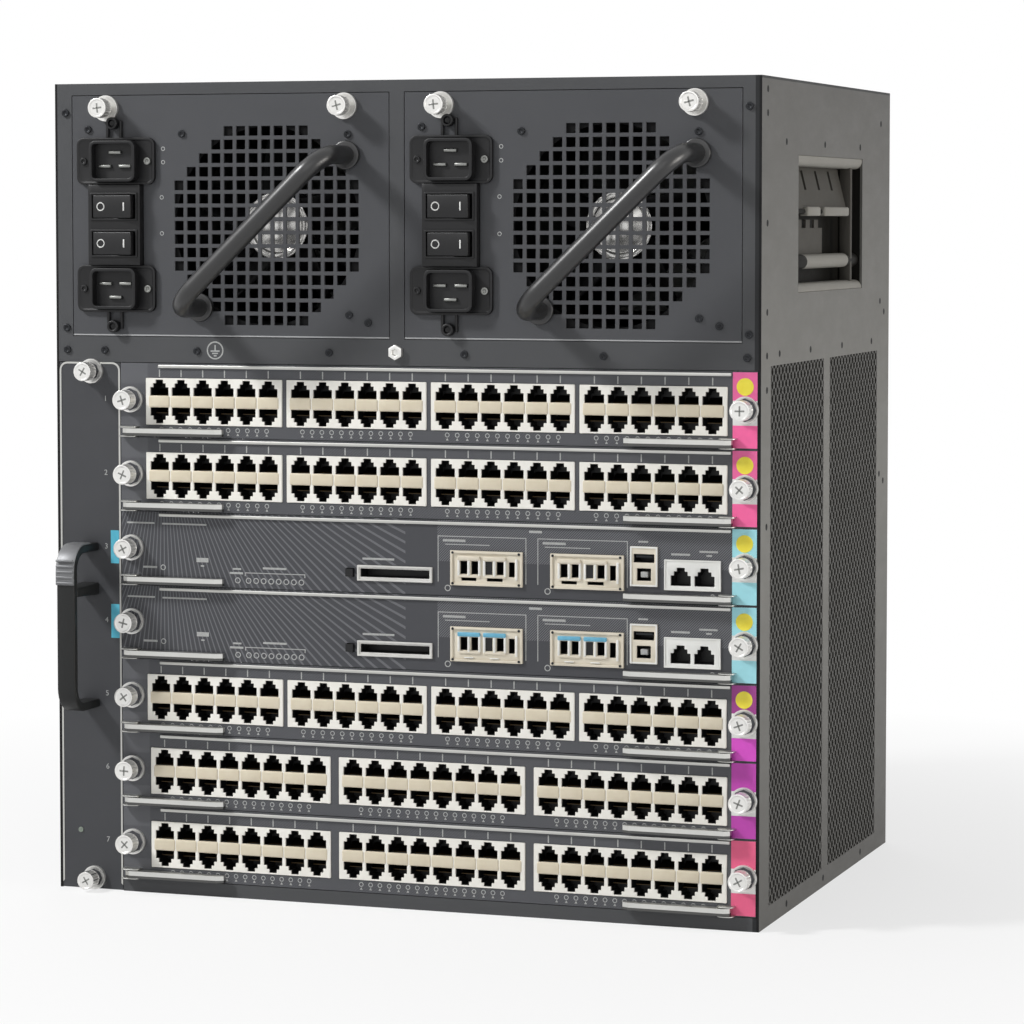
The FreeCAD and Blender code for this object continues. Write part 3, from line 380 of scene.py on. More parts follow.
# Painted shade: from a pale band 0.24 m up, the coat darkens towards the walls' top and foot,
# standing in for how the light falls off there.
height_shade = shell_paint.mix(abs(height - pale_level) / dark_reach * darkening,
                       shell_paint.fed("Base Color"), shade("#494846"))
shell_paint.feed("Base Color", shell_paint.mix(dark_top_line_and_gap_shade * (across > outer_strip), height_shade,
                                               shade("#1d1d1e")))
WALL = 1.5 * MM
vent_starts = (21.5 * MM, 160.5 * MM)
vent_length, vent_floor, vent_height = 124 * MM, 11.5 * MM, 311 * MM
hole_step, hole_radius = 3.9 * MM, 2.4 * MM


def trim_field(near, spare):
    """In edit mode, cut away what lies further than spare outside a field of holes."""
    far, top = near + vent_length + spare, vent_floor + vent_height + spare
    for point, normal in (((0, near - spare, 0), (0, -1, 0)), ((0, far, 0), (0, 1, 0)),
                          ((0, 0, vent_floor - spare), (0, 0, -1)),
                          ((0, 0, top), (0, 0, 1))):
        pick_all()
        bpy.ops.mesh.bisect(plane_co=point, plane_no=normal, clear_outer=True)


def perforated(x, near):
    """A field of staggered round holes in a flat sheet that faces +X."""
    reach = max(vent_length, vent_height) * 1.5
    pitch = hole_step * math.sqrt(2)
    count = int(reach / pitch)
    deselect()
    bpy.ops.mesh.primitive_grid_add(x_subdivisions=count, y_subdivisions=count,
                                    size=count * pitch, rotation=(0, 0, math.pi / 4))
    piece = settle("field")
    piece.rotation_euler = (math.pi / 2, 0, math.pi / 2)
    piece.location = (x, near + vent_length / 2, vent_floor + vent_height / 2)
    settle("field")
    edit()
    trim_field(near, 2 * hole_step)
    pick(piece, lambda spot: not spot.is_boundary, "VERT")
    bpy.ops.mesh.bevel(offset=hole_radius, offset_type="OFFSET", segments=2,
                       profile=0.086, affect="VERTICES")
    pick(piece, lambda face: len(face.verts) == 4 and face.calc_area() < hole_radius ** 2)
    drop()
    trim_field(near, 0)
    done()
    return modify(piece, "SOLIDIFY", thickness=WALL, offset=-1)


window_low, window_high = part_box("side_handles")
window_inset = 1.2 * MM
for name in ("left", "right"):
    low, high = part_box(name + "_side_panel")
    outer, inner = (high.x, high.x - WALL) if name == "right" else (low.x, low.x + WALL)
    near, far = low.y, high.y
    starts = [near + start for start in vent_starts]
    edges = [edge for start in starts for edge in (start, start + vent_length)]
    pocket = (window_low.y + window_inset, window_high.y - window_inset,
              window_low.z + window_inset, window_high.z - window_inset)

    def opened(y, z):
        """Whether a place lies in a vent or in the pocket's window."""
        in_vent = any(start < y < start + vent_length for start in starts)
        return (in_vent and vent_floor < z < vent_floor + vent_height) or (
            pocket[0] < y < pocket[1] and pocket[2] < z < pocket[3])

    sheet = cut_sheet(name + "_wall", (min(outer, inner), near, low.z),
                      (max(outer, inner), far, high.z),
                      edges + list(pocket[:2]),
                      [vent_floor, vent_floor + vent_height] + list(pocket[2:]),
                      opened, WALL, axis=0)
    fields = [perforated(max(outer, inner), start) for start in starts]
    wall = [paint(sheet, shell_paint)] + [paint(field, field_paint) for field in fields]
    if name == "right":
        flange_low = (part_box("card_cage")[1].x - 11.8 * MM, near + 1.8 * MM, 8.4 * MM)
        flange = start_piece("flange", flange_low,
                             (inner, flange_low[1] + WALL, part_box("front_frame")[0].z))
        wall.append(paint(flange, shell_paint))
    panel = join(name + "_perforated_wall", wall)
    smooth(panel, 30)
    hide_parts(name + "_side_panel")
    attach(panel, "chassis")
for node in ("top_cover", "rear_panel"):
    paint(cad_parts[node], shell_paint)
frame_paint = coated("frame_paint", "#494a4c")
# Painted shade: the frame goes nearly black beyond x = 216.2 mm, along its right edge only,
# for the shadowed gap at that corner.
frame_paint.feed("Base Color", frame_paint.mix(
    frame_paint.place("X") > 216.2 * MM, frame_paint.fed("Base Color"), shade("#1b1c1e")))
for node in ("front_frame", "base_pan"):
    paint(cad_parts[node], frame_paint)


# --- Carrying pockets --------------------------------------------------------
# A pressed steel cup behind each side wall takes the fingers that lift the machine.
# A slotted hood and a round grip bar cross it, and rolled lips close its window.
def soften(piece, width, segments=2, angle=30):
    """Round the sharp edges of a piece a little, and shade it smooth between them."""
    modify(piece, "BEVEL", width=width, segments=segments, limit_method="ANGLE",
           angle_limit=math.radians(angle), harden_normals=False)
    smooth(piece, 40)
    return piece


def block(name, low, high, finish, rounding, segments=2):
    """A finished piece that is a box with rounded edges between two corners."""
    return paint(soften(start_piece(name, low, high), rounding, segments), finish)


def round_edges(piece, test, width, segments):
    """In edit mode, round the edges that pass a test."""
    pick(piece, test, "EDGE")
    bpy.ops.mesh.bevel(offset=width, segments=segments, affect="EDGES")


def plated(name, color, rough=0.34, streak=(1, 1, 1), depth=0.00001):
    """Zinc or nickel plate: bright metal with soft clouds and fine drawing marks."""
    finish = Finish(name, shade(color), Metallic=1.0, Roughness=rough)
    cloud = finish.noise(60, 4, 0.6)
    dull = tuple(0.8 * part for part in shade(color))
    finish.feed("Base Color", finish.mix(cloud, dull, shade(color)))
    marks = finish.noise(420, 3, 0.6, stretch=streak)
    finish.feed("Roughness", marks * 0.18 + (rough - 0.07))
    return finish.bump(marks, depth)


zinc = plated("zinc_plate", "#8f908d", 0.46)
# The cup's near black is painted shade for the inside of the pocket. The same paint also
# colours the pin and the grip's thin ends.
pocket_paint = coated("pocket_paint", "#1b1a18", rough=0.6, shine=0.06)
hood_paint = coated("hood_paint", "#4a4844", rough=0.6, depth=0.0001, shine=0.08)
lip_paint = coated("lip_paint", "#85837d", rough=0.5, shine=0.15)
low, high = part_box("side_handles")
wall_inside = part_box("right_side_panel")[1].x - WALL
cup_wall = 1.2 * MM
cup = start_piece("cup", (high.x - 15 * MM, low.y, low.z), (wall_inside, high.y, high.z))
edit()
pick(cup, lambda face: face.normal.x > 0.9)
drop()
done()
modify(cup, "SOLIDIFY", thickness=cup_wall, offset=-1)
paint(cup, pocket_paint)


def along(share):
    """A place from the front to the rear of the pocket's window."""
    return low.y + cup_wall + (high.y - low.y - 2 * cup_wall) * share


hood_low, hood_high = high.z - 34 * MM, high.z - 5 * MM
hood_x, slot_half = wall_inside - 4.2 * MM, 2.6 * MM
slot_low, slot_high = hood_low + 13 * MM, hood_high - 4 * MM
slot_middles = [along(share) for share in (0.12, 0.29, 0.5, 0.7)]
hood = cut_sheet("hood", (hood_x, along(0), hood_low), (wall_inside, along(0.86), hood_high),
                 [middle + side * slot_half for middle in slot_middles for side in (-1, 1)],
                 [slot_low, slot_high], lambda y, z: slot_low < z < slot_high and any(
                     abs(y - middle) < slot_half for middle in slot_middles), cup_wall, axis=0)
edit()
pick_all()
bpy.ops.transform.rotate(value=math.radians(14), orient_axis="Y",
                         center_override=(hood_x, 0, hood_low))
done()
inner = [cup, paint(hood, hood_paint)]
tooth, tooth_root = along(0.0625) - along(0), hood_low - 10 * MM
comb = cut_sheet("comb", (wall_inside - 9.6 * MM, along(0.1), hood_low - 27 * MM),
                 (wall_inside, along(0.6), hood_low - 5 * MM),
                 [along(0.1 + 0.0625 * n) for n in range(1, 8)], [tooth_root],
                 lambda y, z: z > tooth_root and int((y - along(0.1)) / tooth) % 2,
                 cup_wall, axis=0)
inner.append(paint(comb, hood_paint))
for name, start, end, thick, finish in (("front_brim", 0.19, 0.38, 5.6, lip_paint),
                                        ("rear_brim", 0.45, 0.83, 5.6, lip_paint),
                                        ("brim_pin", 0.0, 0.86, 3.0, pocket_paint)):
    inner.append(block(
        name, (wall_inside - 6 * MM, along(start), hood_low - thick / 2 * MM),
        (wall_inside - (0.2 if finish is lip_paint else 2) * MM, along(end),
         hood_low + thick / 2 * MM), finish, 1.2 * MM, 3))
inner.append(block("cheek", (wall_inside - 8 * MM, along(0.87), low.z + 6 * MM),
                   (wall_inside - 1.2 * MM, along(0.9), high.z - 7 * MM), hood_paint,
                   0.4 * MM))

grip_radius, grip_level = 5.5 * MM, low.z + 19 * MM


def start_cylinder(name, radius, depth, spot, vertices, turn=(math.pi / 2, 0, 0)):
    """Start a piece as a cylinder round a place, along Y if nothing else is said."""
    deselect()
    bpy.ops.mesh.primitive_cylinder_add(vertices=vertices, radius=radius, depth=depth,
                                        location=spot, rotation=turn)
    return settle(name)


grip_spot = (wall_inside - grip_radius, along(0.5), grip_level)
grip = paint(start_cylinder("grip", grip_radius, along(1) - along(0), grip_spot, 28),
             lip_paint, pocket_paint)
collar_near, collar_far = along(0.2), along(0.84)
edit()
for place in (collar_near, collar_far):
    pick_all()
    bpy.ops.mesh.bisect(plane_co=(0, place, 0), plane_no=(0, 1, 0))
pick(grip, lambda face: not collar_near < face.calc_center_median().y < collar_far)
bpy.context.object.active_material_index = 1
bpy.ops.object.material_slot_assign()
pick(grip, lambda face: abs(face.normal.y) < 0.5
     and not collar_near < face.calc_center_median().y < collar_far)
bpy.ops.transform.resize(value=(0.8, 1, 0.8), center_override=grip_spot)
done()
inner.append(soften(grip, 0.5 * MM, 2))

lips = []
for name, z_low, z_high, edge in (("upper_lip", high.z - 7.5 * MM, high.z - cup_wall, -1),
                                  ("lower_lip", low.z + cup_wall, low.z + 6.5 * MM, 1)):
    lip = start_piece(name, (wall_inside - 9 * MM, along(0), z_low),
                      (wall_inside + cup_wall, along(1), z_high))
    edit()
    rim = z_low if edge < 0 else z_high
    round_edges(lip, lambda item: all(abs(spot.co.z - rim) < MM and spot.co.x > wall_inside
                                      for spot in item.verts), 4.8 * MM, 7)
    done()
    lips.append(paint(soften(lip, 0.3 * MM, 1), lip_paint))
pockets = join("carrying_pockets", inner + lips)
modify(pockets, "MIRROR", use_axis=(True, False, False))
smooth(pockets, 40)
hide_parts("side_handles")
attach(pockets, "chassis")


# --- Card cage, shelf and backplane ------------------------------------------
# Zinc plated sheet carries the cards on guides and the power supplies on a shelf.
# The backplane is a green circuit board with a black connector for each card.
# The cage and shelf are drawn dark grey rather than bright zinc, as painted shade for the
# inside of the box seen through the vents.
cage_steel = coated("cage_steel", "#343534", rough=0.55, shine=0.1)
cage_steel.shader.inputs["Metallic"].default_value = 0.25
for node in ("card_cage", "psu_shelf"):
    paint(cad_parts[node], cage_steel)
board_mask = Finish("board_mask", shade("#1d4a2c"), Roughness=0.35)
tracks = board_mask.noise(120, 2, 0.5, stretch=(1, 1, 4))
board_color = board_mask.mix((tracks > 0.52) * 0.6, shade("#173d25"), shade("#3f7a52"))
connector_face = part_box("backplane")[0].y + 7.9 * MM
board_mask.feed("Base Color", board_mask.mix(board_mask.place("Y") < connector_face,
                                             board_color, shade("#1b1b1c")))
board_mask.bump(tracks, 0.00004)
paint(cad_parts["backplane"], board_mask)


# --- Power supplies: faceplate and casing ------------------------------------
# The faceplate is dark painted steel with a grille punched straight through it, fifteen
# square holes each way without the corners. A plated steel casing is riveted behind it.
psu_paint = coated("psu_paint", "#494a4d", depth=0.00005)
psu_low, psu_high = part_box("psu_left_case")
# Painted highlight: a light grey line along the faceplate's lower edge, where the edge catches
# the light.
psu_paint.feed("Base Color", psu_paint.mix(
    psu_paint.place("Z") < psu_low.z + 0.9 * MM, psu_paint.fed("Base Color"),
    shade("#a3a4a5")))
PLATE = 1.5 * MM
grille_x, grille_z = psu_low.x + 125.8 * MM, psu_low.z + 66.0 * MM
entry_low, entry_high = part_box("psu_left_power_entry")
entry_x, entry_z = (entry_low.x + entry_high.x) / 2, (entry_low.z + entry_high.z) / 2
mesh_pitch, mesh_hole = 8 * MM, 5.7 * MM
half_count, corner_count = 7, 10
well_width, well_height = 34.4 * MM, 101.2 * MM


def faces_front(face):
    """Whether a face looks to the front."""
    return face.normal.y < -0.9


def runs_back(edge):
    """Whether an edge runs from the front to the rear."""
    return abs(edge.verts[0].co.y - edge.verts[1].co.y) > 0.1 * MM


def inset(rim, depth=0.0, **settings):
    """Leave a rim inside the selected faces, and raise or sink what it surrounds."""
    bpy.ops.mesh.inset(thickness=rim, depth=depth, **settings)


def twin(piece, name, shift=(0, 0, 0)):
    """A copy of a piece with its own mesh, moved by shift."""
    other = piece.copy()
    other.data = piece.data.copy()
    other.name = other.data.name = name
    other.data.transform(Matrix.Translation(shift))
    bpy.context.scene.collection.objects.link(other)
    return other


def in_grille(x, z):
    """Whether a place on the faceplate is one of the grille's square holes."""
    column, row = round((x - grille_x) / mesh_pitch), round((z - grille_z) / mesh_pitch)
    in_hole = (abs(x - grille_x - column * mesh_pitch) < mesh_hole / 2
               and abs(z - grille_z - row * mesh_pitch) < mesh_hole / 2)
    inside = (max(abs(column), abs(row)) <= half_count
              and abs(column) + abs(row) <= corner_count)
    in_well = (abs(x - entry_x) < well_width / 2 and abs(z - entry_z) < well_height / 2)
    return (in_hole and inside) or in_well


steps = [n * mesh_pitch + side * mesh_hole / 2
         for n in range(-half_count, half_count + 1) for side in (-1, 1)]
faceplate = cut_sheet(
    "faceplate", (psu_low.x, face_y, psu_low.z), (psu_high.x, face_y + PLATE, psu_high.z),
    [grille_x + step for step in steps] + [entry_x - well_width / 2, entry_x + well_width / 2],
    [grille_z + step for step in steps] + [entry_z - well_height / 2,
                                           entry_z + well_height / 2],
    in_grille, PLATE)
modify(faceplate, "BEVEL", width=0.35 * MM, segments=1, limit_method="ANGLE",
       angle_limit=math.radians(60))
paint(faceplate, psu_paint)
casing = start_piece("casing", (psu_low.x + 7.6 * MM, face_y + PLATE, psu_low.z),
                     (psu_high.x - 7.6 * MM, psu_high.y, psu_high.z))
edit()
pick(casing, faces_front)
drop()
round_edges(casing, runs_back, 1.5 * MM, 3)
pick(casing, lambda face: face.normal.y > 0.9)
inset(9 * MM)
inset(1.2 * MM, -1.2 * MM)
done()
modify(casing, "SOLIDIFY", thickness=1.2 * MM, offset=-1)
smooth(casing, 40)
paint(casing, zinc)
shade_black = coated("fan_black", "#0e0e0f", rough=0.6, shine=0.1)
fan_low, fan_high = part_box("psu_left_fan_frame")
shroud = start_piece("shroud", (fan_low.x, fan_low.y + 0.05 * MM, fan_low.z), fan_high)
bore = start_cylinder("bore", 58.5 * MM, 0.2, (grille_x, fan_low.y, grille_z), 72)
modify(shroud, "BOOLEAN", operation="DIFFERENCE", object=bore, solver="EXACT")
bpy.data.objects.remove(bore)
smooth(shroud, 30)
paint(shroud, shade_black)
struts = []
for turn in range(3):
    strut = start_piece("strut", (grille_x - 3 * MM, fan_high.y - 3 * MM, grille_z),
                        (grille_x + 3 * MM, fan_high.y, grille_z + 59.5 * MM))
    strut.data.transform(Matrix.Translation((grille_x, 0, grille_z))
                         @ Matrix.Rotation(turn * math.tau / 3, 4, "Y")
                         @ Matrix.Translation((-grille_x, 0, -grille_z)))
    struts.append(paint(soften(strut, 0.6 * MM), shade_black))
mount = start_cylinder("mount", 21 * MM, 3 * MM,
                       (grille_x, fan_high.y - 1.5 * MM, grille_z), 40)
paint(soften(mount, 0.8 * MM), shade_black)
fan_frame = join("psu_left_fan_shroud", [shroud, mount] + struts)
front_part = join("psu_left_faceplate", [faceplate, casing])
psu_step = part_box("psu_right_case")[0].x - psu_low.x


def both_sides(piece, part, body="psu_left"):
    """Fit a piece to the left power supply and its twin to the right one."""
    for side in ("left", "right"):
        fitted = piece if side == "left" else twin(
            piece, piece.name.replace("left", "right"), (psu_step, 0, 0))
        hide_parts(part.replace("left", side))
        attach(fitted, body.replace("left", side))


both_sides(front_part, "psu_left_case")
both_sides(fan_frame, "psu_left_fan_frame")


# --- Power supplies: fan rotor -------------------------------------------------
# A black moulded rotor with five swept blades turns on a bright plated hub. It is
# pressed on the motor's shaft, which three struts hold in the middle of the shroud.
bright = plated("bright_nickel", "#e2e1de", 0.2)
hub_radius, blade_root, blade_count = 20 * MM, 18 * MM, 5


def rotor_piece(name, depth, radius, hub_finish):
    """A rotor on the Y axis with twisted blades round a domed hub."""
    hub = start_cylinder("hub", hub_radius, depth, (0, 0, 0), 40)
    edit()
    pick(hub, faces_front)
    inset(hub_radius * 0.16)
    inset(hub_radius * 0.06, -0.1 * depth)
    inset(hub_radius * 0.3, 0.07 * depth)
    done()
    paint(soften(hub, 0.6 * MM), hub_finish)
    deselect()
    bpy.ops.mesh.primitive_grid_add(x_subdivisions=5, y_subdivisions=8, size=1)
    blade = bpy.context.object
    blade.scale = (depth * 1.3, radius - blade_root, 1)
    settle("blade")
    modify(blade, "SIMPLE_DEFORM", deform_method="TWIST", deform_axis="Y",
           angle=math.radians(24))
    modify(blade, "SIMPLE_DEFORM", deform_method="BEND", deform_axis="Y",
           angle=math.radians(26))
    modify(blade, "SOLIDIFY", thickness=1.4 * MM, offset=0)
    only(blade)
    bpy.ops.object.shade_smooth()
    blades = []
    for turn in range(blade_count):
        copy = twin(blade, "blade")
        copy.data.transform(
            Matrix.Rotation(turn * math.tau / blade_count, 4, "Y")
            @ Matrix.Translation((0, 0, (radius + blade_root) / 2))
            @ Matrix.Rotation(math.radians(48), 4, "Z")
            @ Matrix.Rotation(math.pi / 2, 4, "X"))
        blades.append(paint(copy, shade_black))
    bpy.data.objects.remove(blade)
    return join(name, [hub] + blades)


low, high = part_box("psu_left_rotor")
rotor = rotor_piece("psu_left_fan_rotor", high.y - low.y, 53 * MM, bright)
rotor.data.transform(Matrix.Translation((grille_x, (low.y + high.y) / 2, grille_z)))
both_sides(rotor, "psu_left_rotor", "psu_left_rotor")


# --- Power supplies: inlets and switches ---------------------------------------
# A black moulding holds two mains inlets with three plated blades each, and between
# them a bezel with two rocker switches. Each inlet's flange is held by screws.


def pull(x, y, z):
    """Extrude what is selected."""
    bpy.ops.mesh.extrude_region_move(TRANSFORM_OT_translate={"value": (x, y, z)})


def clouded(name, color, deep, pale, grain, **sockets):
    """A finish whose colour drifts between two shades, in patches of one grain."""
    finish = Finish(name, shade(color), **sockets)
    return finish.feed("Base Color", finish.mix(finish.noise(*grain), shade(deep),
                                                shade(pale)))


black = clouded("black_moulding", "#131314", "#0e0e0f", "#19191b", (20, 4),
                Roughness=0.38, Specular_IOR_Level=0.35)
black.feed("Roughness", black.noise(50, 5, 0.7) * 0.25 + 0.27)
black.bump(black.noise(1600, 2, 0.6), 0.00003)
inlet_spread, inlet_width, inlet_height = 38.1 * MM, 30 * MM, 24.6 * MM
inlet_front, flange_half, bezel_side = entry_low.y, 14 * MM, 17 * MM


def sink_front(piece, rim, slope, depth):
    """Sink the front of a piece inside a rim."""
    edit()
    pick(piece, faces_front)
    inset(rim)
    inset(slope, -depth)
    done()


pieces = []
for sign in (-1, 1):
    z = entry_z + sign * inlet_spread
    flange = start_piece("flange", (entry_low.x, face_y - 2.5 * MM, z - flange_half),
                         (entry_high.x, face_y, z + flange_half))
    edit()
    round_edges(flange, runs_back, 4.5 * MM, 5)
    done()
    sink_front(flange, 1.4 * MM, 0.4 * MM, 0.4 * MM)
    pieces.append(paint(soften(flange, 0.4 * MM), black))
    inlet = start_piece(
        "inlet", (entry_x - inlet_width / 2, inlet_front, z - inlet_height / 2),
        (entry_x + inlet_width / 2, face_y + 13.5 * MM, z + inlet_height / 2))
    edit()
    round_edges(inlet, runs_back, 4.2 * MM, 5)
    pick(inlet, faces_front)
    inset(2.0 * MM)
    pull(0, 20 * MM, 0)
    done()
    pieces.append(paint(soften(inlet, 0.45 * MM), black))
    for x, rise in ((0, 5.2), (-6.6, -3.0), (6.6, -3.0)):
        x, blade_z = entry_x + x * MM, z + sign * rise * MM
        blade = start_piece("blade", (x - 4 * MM, inlet_front + 4 * MM, blade_z - MM),
                            (x + 4 * MM, inlet_front + 20.6 * MM, blade_z + MM))
        edit()
        round_edges(blade, lambda item: all(spot.co.y < inlet_front + 5 * MM
                                            for spot in item.verts), 0.7 * MM, 2)
        done()
        pieces.append(paint(blade, zinc))
    for x in (entry_low.x + 4.6 * MM, entry_high.x - 4.6 * MM):
        head = start_cylinder("head", 2.2 * MM, 1.4 * MM, (x, face_y - 2.6 * MM, z), 20)
        sink_front(head, 1.1 * MM, 0.2 * MM, 0.7 * MM)
        pieces.append(paint(soften(head, 0.25 * MM), zinc if x > entry_x else black))
    boss_z = z + sign * 22.6 * MM
    boss = start_cylinder("clip_boss", 3.7 * MM, 5 * MM,
                          (entry_x - 1.6 * MM, face_y - 2.5 * MM, boss_z), 24)
    sink_front(boss, 1.5 * MM, 0.4 * MM, 2.2 * MM)
    pieces.append(paint(soften(boss, 0.6 * MM, 3), black))
    foot_z = boss_z - sign * 9.2 * MM
    for x in (-6.4, 2.2):
        clip = start_piece(
            "wire_clip", (entry_x + x * MM, face_y - 2.2 * MM, foot_z - 1.1 * MM),
            (entry_x + (x + 1.8) * MM, face_y - 0.2 * MM, foot_z + 1.1 * MM))
        edit()
        pick(clip, lambda face: face.normal.z * sign > 0.9)
        bpy.ops.transform.translate(value=(0, 0, sign * 9.6 * MM))
        done()
        pieces.append(paint(soften(clip, 0.5 * MM), black))
bezel_half = inlet_spread - flange_half
rocker_spread, rocker_window, rocker_height = 11 * MM, 28.4 * MM, 14.2 * MM
windows = [entry_z + sign * rocker_spread for sign in (-1, 1)]
bezel = cut_sheet(
    "bezel", (entry_x - bezel_side, face_y - 5 * MM, entry_z - bezel_half),
    (entry_x + bezel_side, face_y + 7 * MM, entry_z + bezel_half),
    [entry_x - rocker_window / 2, entry_x + rocker_window / 2],
    [window + side * rocker_height / 2 for window in windows for side in (-1, 1)],
    lambda x, z: abs(x - entry_x) < rocker_window / 2 and any(
        abs(z - window) < rocker_height / 2 for window in windows), 12 * MM)
pieces.append(paint(soften(bezel, 0.5 * MM), black))
for window in windows:
    rim = cut_sheet("rim", (entry_x - 15.4 * MM, face_y - 5.9 * MM, window - 8.3 * MM),
                    (entry_x + 15.4 * MM, face_y - 5 * MM, window + 8.3 * MM),
                    [entry_x - rocker_window / 2, entry_x + rocker_window / 2],
                    [window - rocker_height / 2, window + rocker_height / 2],
                    lambda x, z: abs(x - entry_x) < rocker_window / 2
                    and abs(z - window) < rocker_height / 2, 1.0 * MM)
    pieces.append(paint(soften(rim, 0.35 * MM), black))
pieces.append(block(
    "body_block", (entry_x - bezel_side, face_y + 13.5 * MM, entry_z - 50.4 * MM),
    (entry_x + bezel_side, entry_high.y, entry_z + 50.4 * MM), black, 0.6 * MM))
entry = join("psu_left_mains_entry", pieces)
smooth(entry, 40)
both_sides(entry, "psu_left_power_entry")

mark_white = clouded("mark_white", "#e9e9e6", "#c9c9c6", "#f2f2f0", (900, 2), Roughness=0.5)
half, dip = 13.3 * MM, 1.8 * MM
for place, window in (("upper", windows[1]), ("lower", windows[0])):
    rocker = start_piece("rocker", (-half, -2.6 * MM, -6.8 * MM), (half, 1.4 * MM, 6.8 * MM))
    edit()
    pick_all()
    bpy.ops.mesh.bisect(plane_co=(0, 0, 0), plane_no=(1, 0, 0))
    pick(rocker, lambda spot: abs(spot.co.x) < 0.1 * MM and spot.co.y < 0, "VERT")
    bpy.ops.transform.translate(value=(0, dip, 0))
    pick(rocker, lambda spot: abs(spot.co.x) < 0.1 * MM and spot.co.y > MM, "VERT")
    bpy.ops.transform.translate(value=(0, 4.6 * MM, 0))
    done()
    paint(soften(rocker, 0.5 * MM, 3), black)
    deselect()
    bpy.ops.mesh.primitive_torus_add(
        major_radius=2.3 * MM, minor_radius=0.38 * MM, major_segments=28, minor_segments=6,
        location=(-8.2 * MM, -1.85 * MM, 0), rotation=(math.pi / 2, 0, math.atan2(dip, half)))
    ring = paint(settle("ring"), mark_white)
    stroke = block("stroke", (7.8 * MM, -2.35 * MM, -2.5 * MM),
                   (8.7 * MM, -1.4 * MM, 2.5 * MM), mark_white, 0.15 * MM)
    switch = join("psu_left_%s_switch" % place, [rocker, ring, stroke])
    switch.data.transform(Matrix.Translation((entry_x, face_y - 5 * MM, window))
                          @ Matrix.Rotation(math.radians(-8), 4, "Z"))
    both_sides(switch, "psu_left_%s_rocker" % place,
               "psu_left_%s_rocker" % place)


# --- Power supplies: pull handle ------------------------------------------------
# A steel tube is bent twice, painted satin black and screwed on through its feet.
# It crosses the guard aslant, and the whole supply is drawn out by it.
handle_paint = clouded("handle_paint", "#1d1d1e", "#161617", "#232324", (25, 5, 0.7),
                       Roughness=0.3, Coat_Weight=0.35, Coat_Roughness=0.3)
handle_paint.feed("Roughness", handle_paint.noise(160, 4, 0.7) * 0.2 + 0.24)
handle_paint.bump(handle_paint.noise(1300, 1), 0.00002)


def close_skin():
    """In edit mode, merge the seams of a swept skin and turn its faces outwards."""
    pick_all()
    bpy.ops.mesh.remove_doubles(threshold=0.01 * MM)
    bpy.ops.mesh.normals_make_consistent(inside=False)


handle_low, handle_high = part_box("psu_left_handle")
half_span, bend_radius, tube = 65 * MM, 18 * MM, 5.6 * MM
reach = face_y - handle_low.y - tube
middle = Vector(((handle_low.x + handle_high.x) / 2, face_y,
                 (handle_low.z + handle_high.z) / 2))
deselect()
bpy.ops.mesh.primitive_circle_add(vertices=24, radius=tube, fill_type="NOTHING",
                                  location=(half_span, 0, 0), rotation=(math.pi / 2, 0, 0))
handle = settle("psu_left_pull_handle")
edit()
pick_all()
pull(0, bend_radius - reach, 0)
for side, run in ((1, (2 * (bend_radius - half_span), 0, 0)),
                  (-1, (0, reach - bend_radius, 0))):
    bpy.ops.mesh.spin(steps=9, angle=math.pi / 2, axis=(0, 0, 1), center=(
        side * (half_span - bend_radius), bend_radius - reach, 0))
    pull(*run)
close_skin()
done()
only(handle)
bpy.ops.object.shade_smooth()
parts = [handle]
for side in (-1, 1):
    foot = start_cylinder("foot", 8.5 * MM, 3 * MM, (side * half_span, -1.5 * MM, 0), 32)
    parts.append(soften(foot, 0.9 * MM, 3))
handle = paint(join("psu_left_pull_handle", parts), handle_paint)
handle.data.transform(Matrix.Translation(middle)
                      @ Matrix.Rotation(math.radians(-43.8), 4, "Y"))
both_sides(handle, "psu_left_handle")


# --- Thumb screws ---------------------------------------------------------------
# Sprung captive screws hold every card, the fan tray and both power supplies. A turned
# and nickelled head with a knurled rim and a cross recess stands on a round collar.
screw_nickel = plated("screw_nickel", "#efeeeb", 0.3)
screw_nickel.shader.inputs["Metallic"].default_value = 0.75
oxide = clouded("black_oxide", "#1f2022", "#101113", "#303236", (300, 3), Metallic=0.6,
                Roughness=0.4)
oxide.feed("Roughness", oxide.noise(700, 2) * 0.3 + 0.25)
screw = start_cylinder("thumb_screw", 7.8 * MM, 2.4 * MM, (0, -1.2 * MM, 0), 36)
edit()
pick(screw, faces_front)
inset(1.0 * MM, -0.3 * MM)
inset(3.4 * MM)
pull(0, -3.9 * MM, 0)
pull(0, -0.01 * MM, 0)
bpy.ops.transform.resize(value=(1.74, 1, 1.74))
pull(0, -8.2 * MM, 0)
inset(0.9 * MM)
inset(0.5 * MM, -0.45 * MM)
pick(screw, lambda face: face.calc_center_median().y < -8 * MM and abs(face.normal.y) < 0.3
     and round(math.atan2(face.normal.x, face.normal.z) * 18 / math.pi - 0.5) % 2)
inset(0.14 * MM, -0.35 * MM, use_individual=True)
done()
paint(soften(screw, 0.25 * MM, 2, angle=50), screw_nickel)
# The cross recess is not cut: a thin cross of darker plated grey on the head stands for it, as
# painted shade.
recess_shade_cross = [start_piece("arm", (-half, -13.95 * MM, -rise), (half, -13.6 * MM, rise))
          for half, rise in ((2.9 * MM, 0.5 * MM), (0.5 * MM, 2.9 * MM))]
for arm in recess_shade_cross:
    arm.data.transform(Matrix.Rotation(math.radians(31), 4, "Y"))
    paint(soften(arm, 0.15 * MM, 1), zinc)
screw = join("thumb_screw", [screw] + recess_shade_cross)


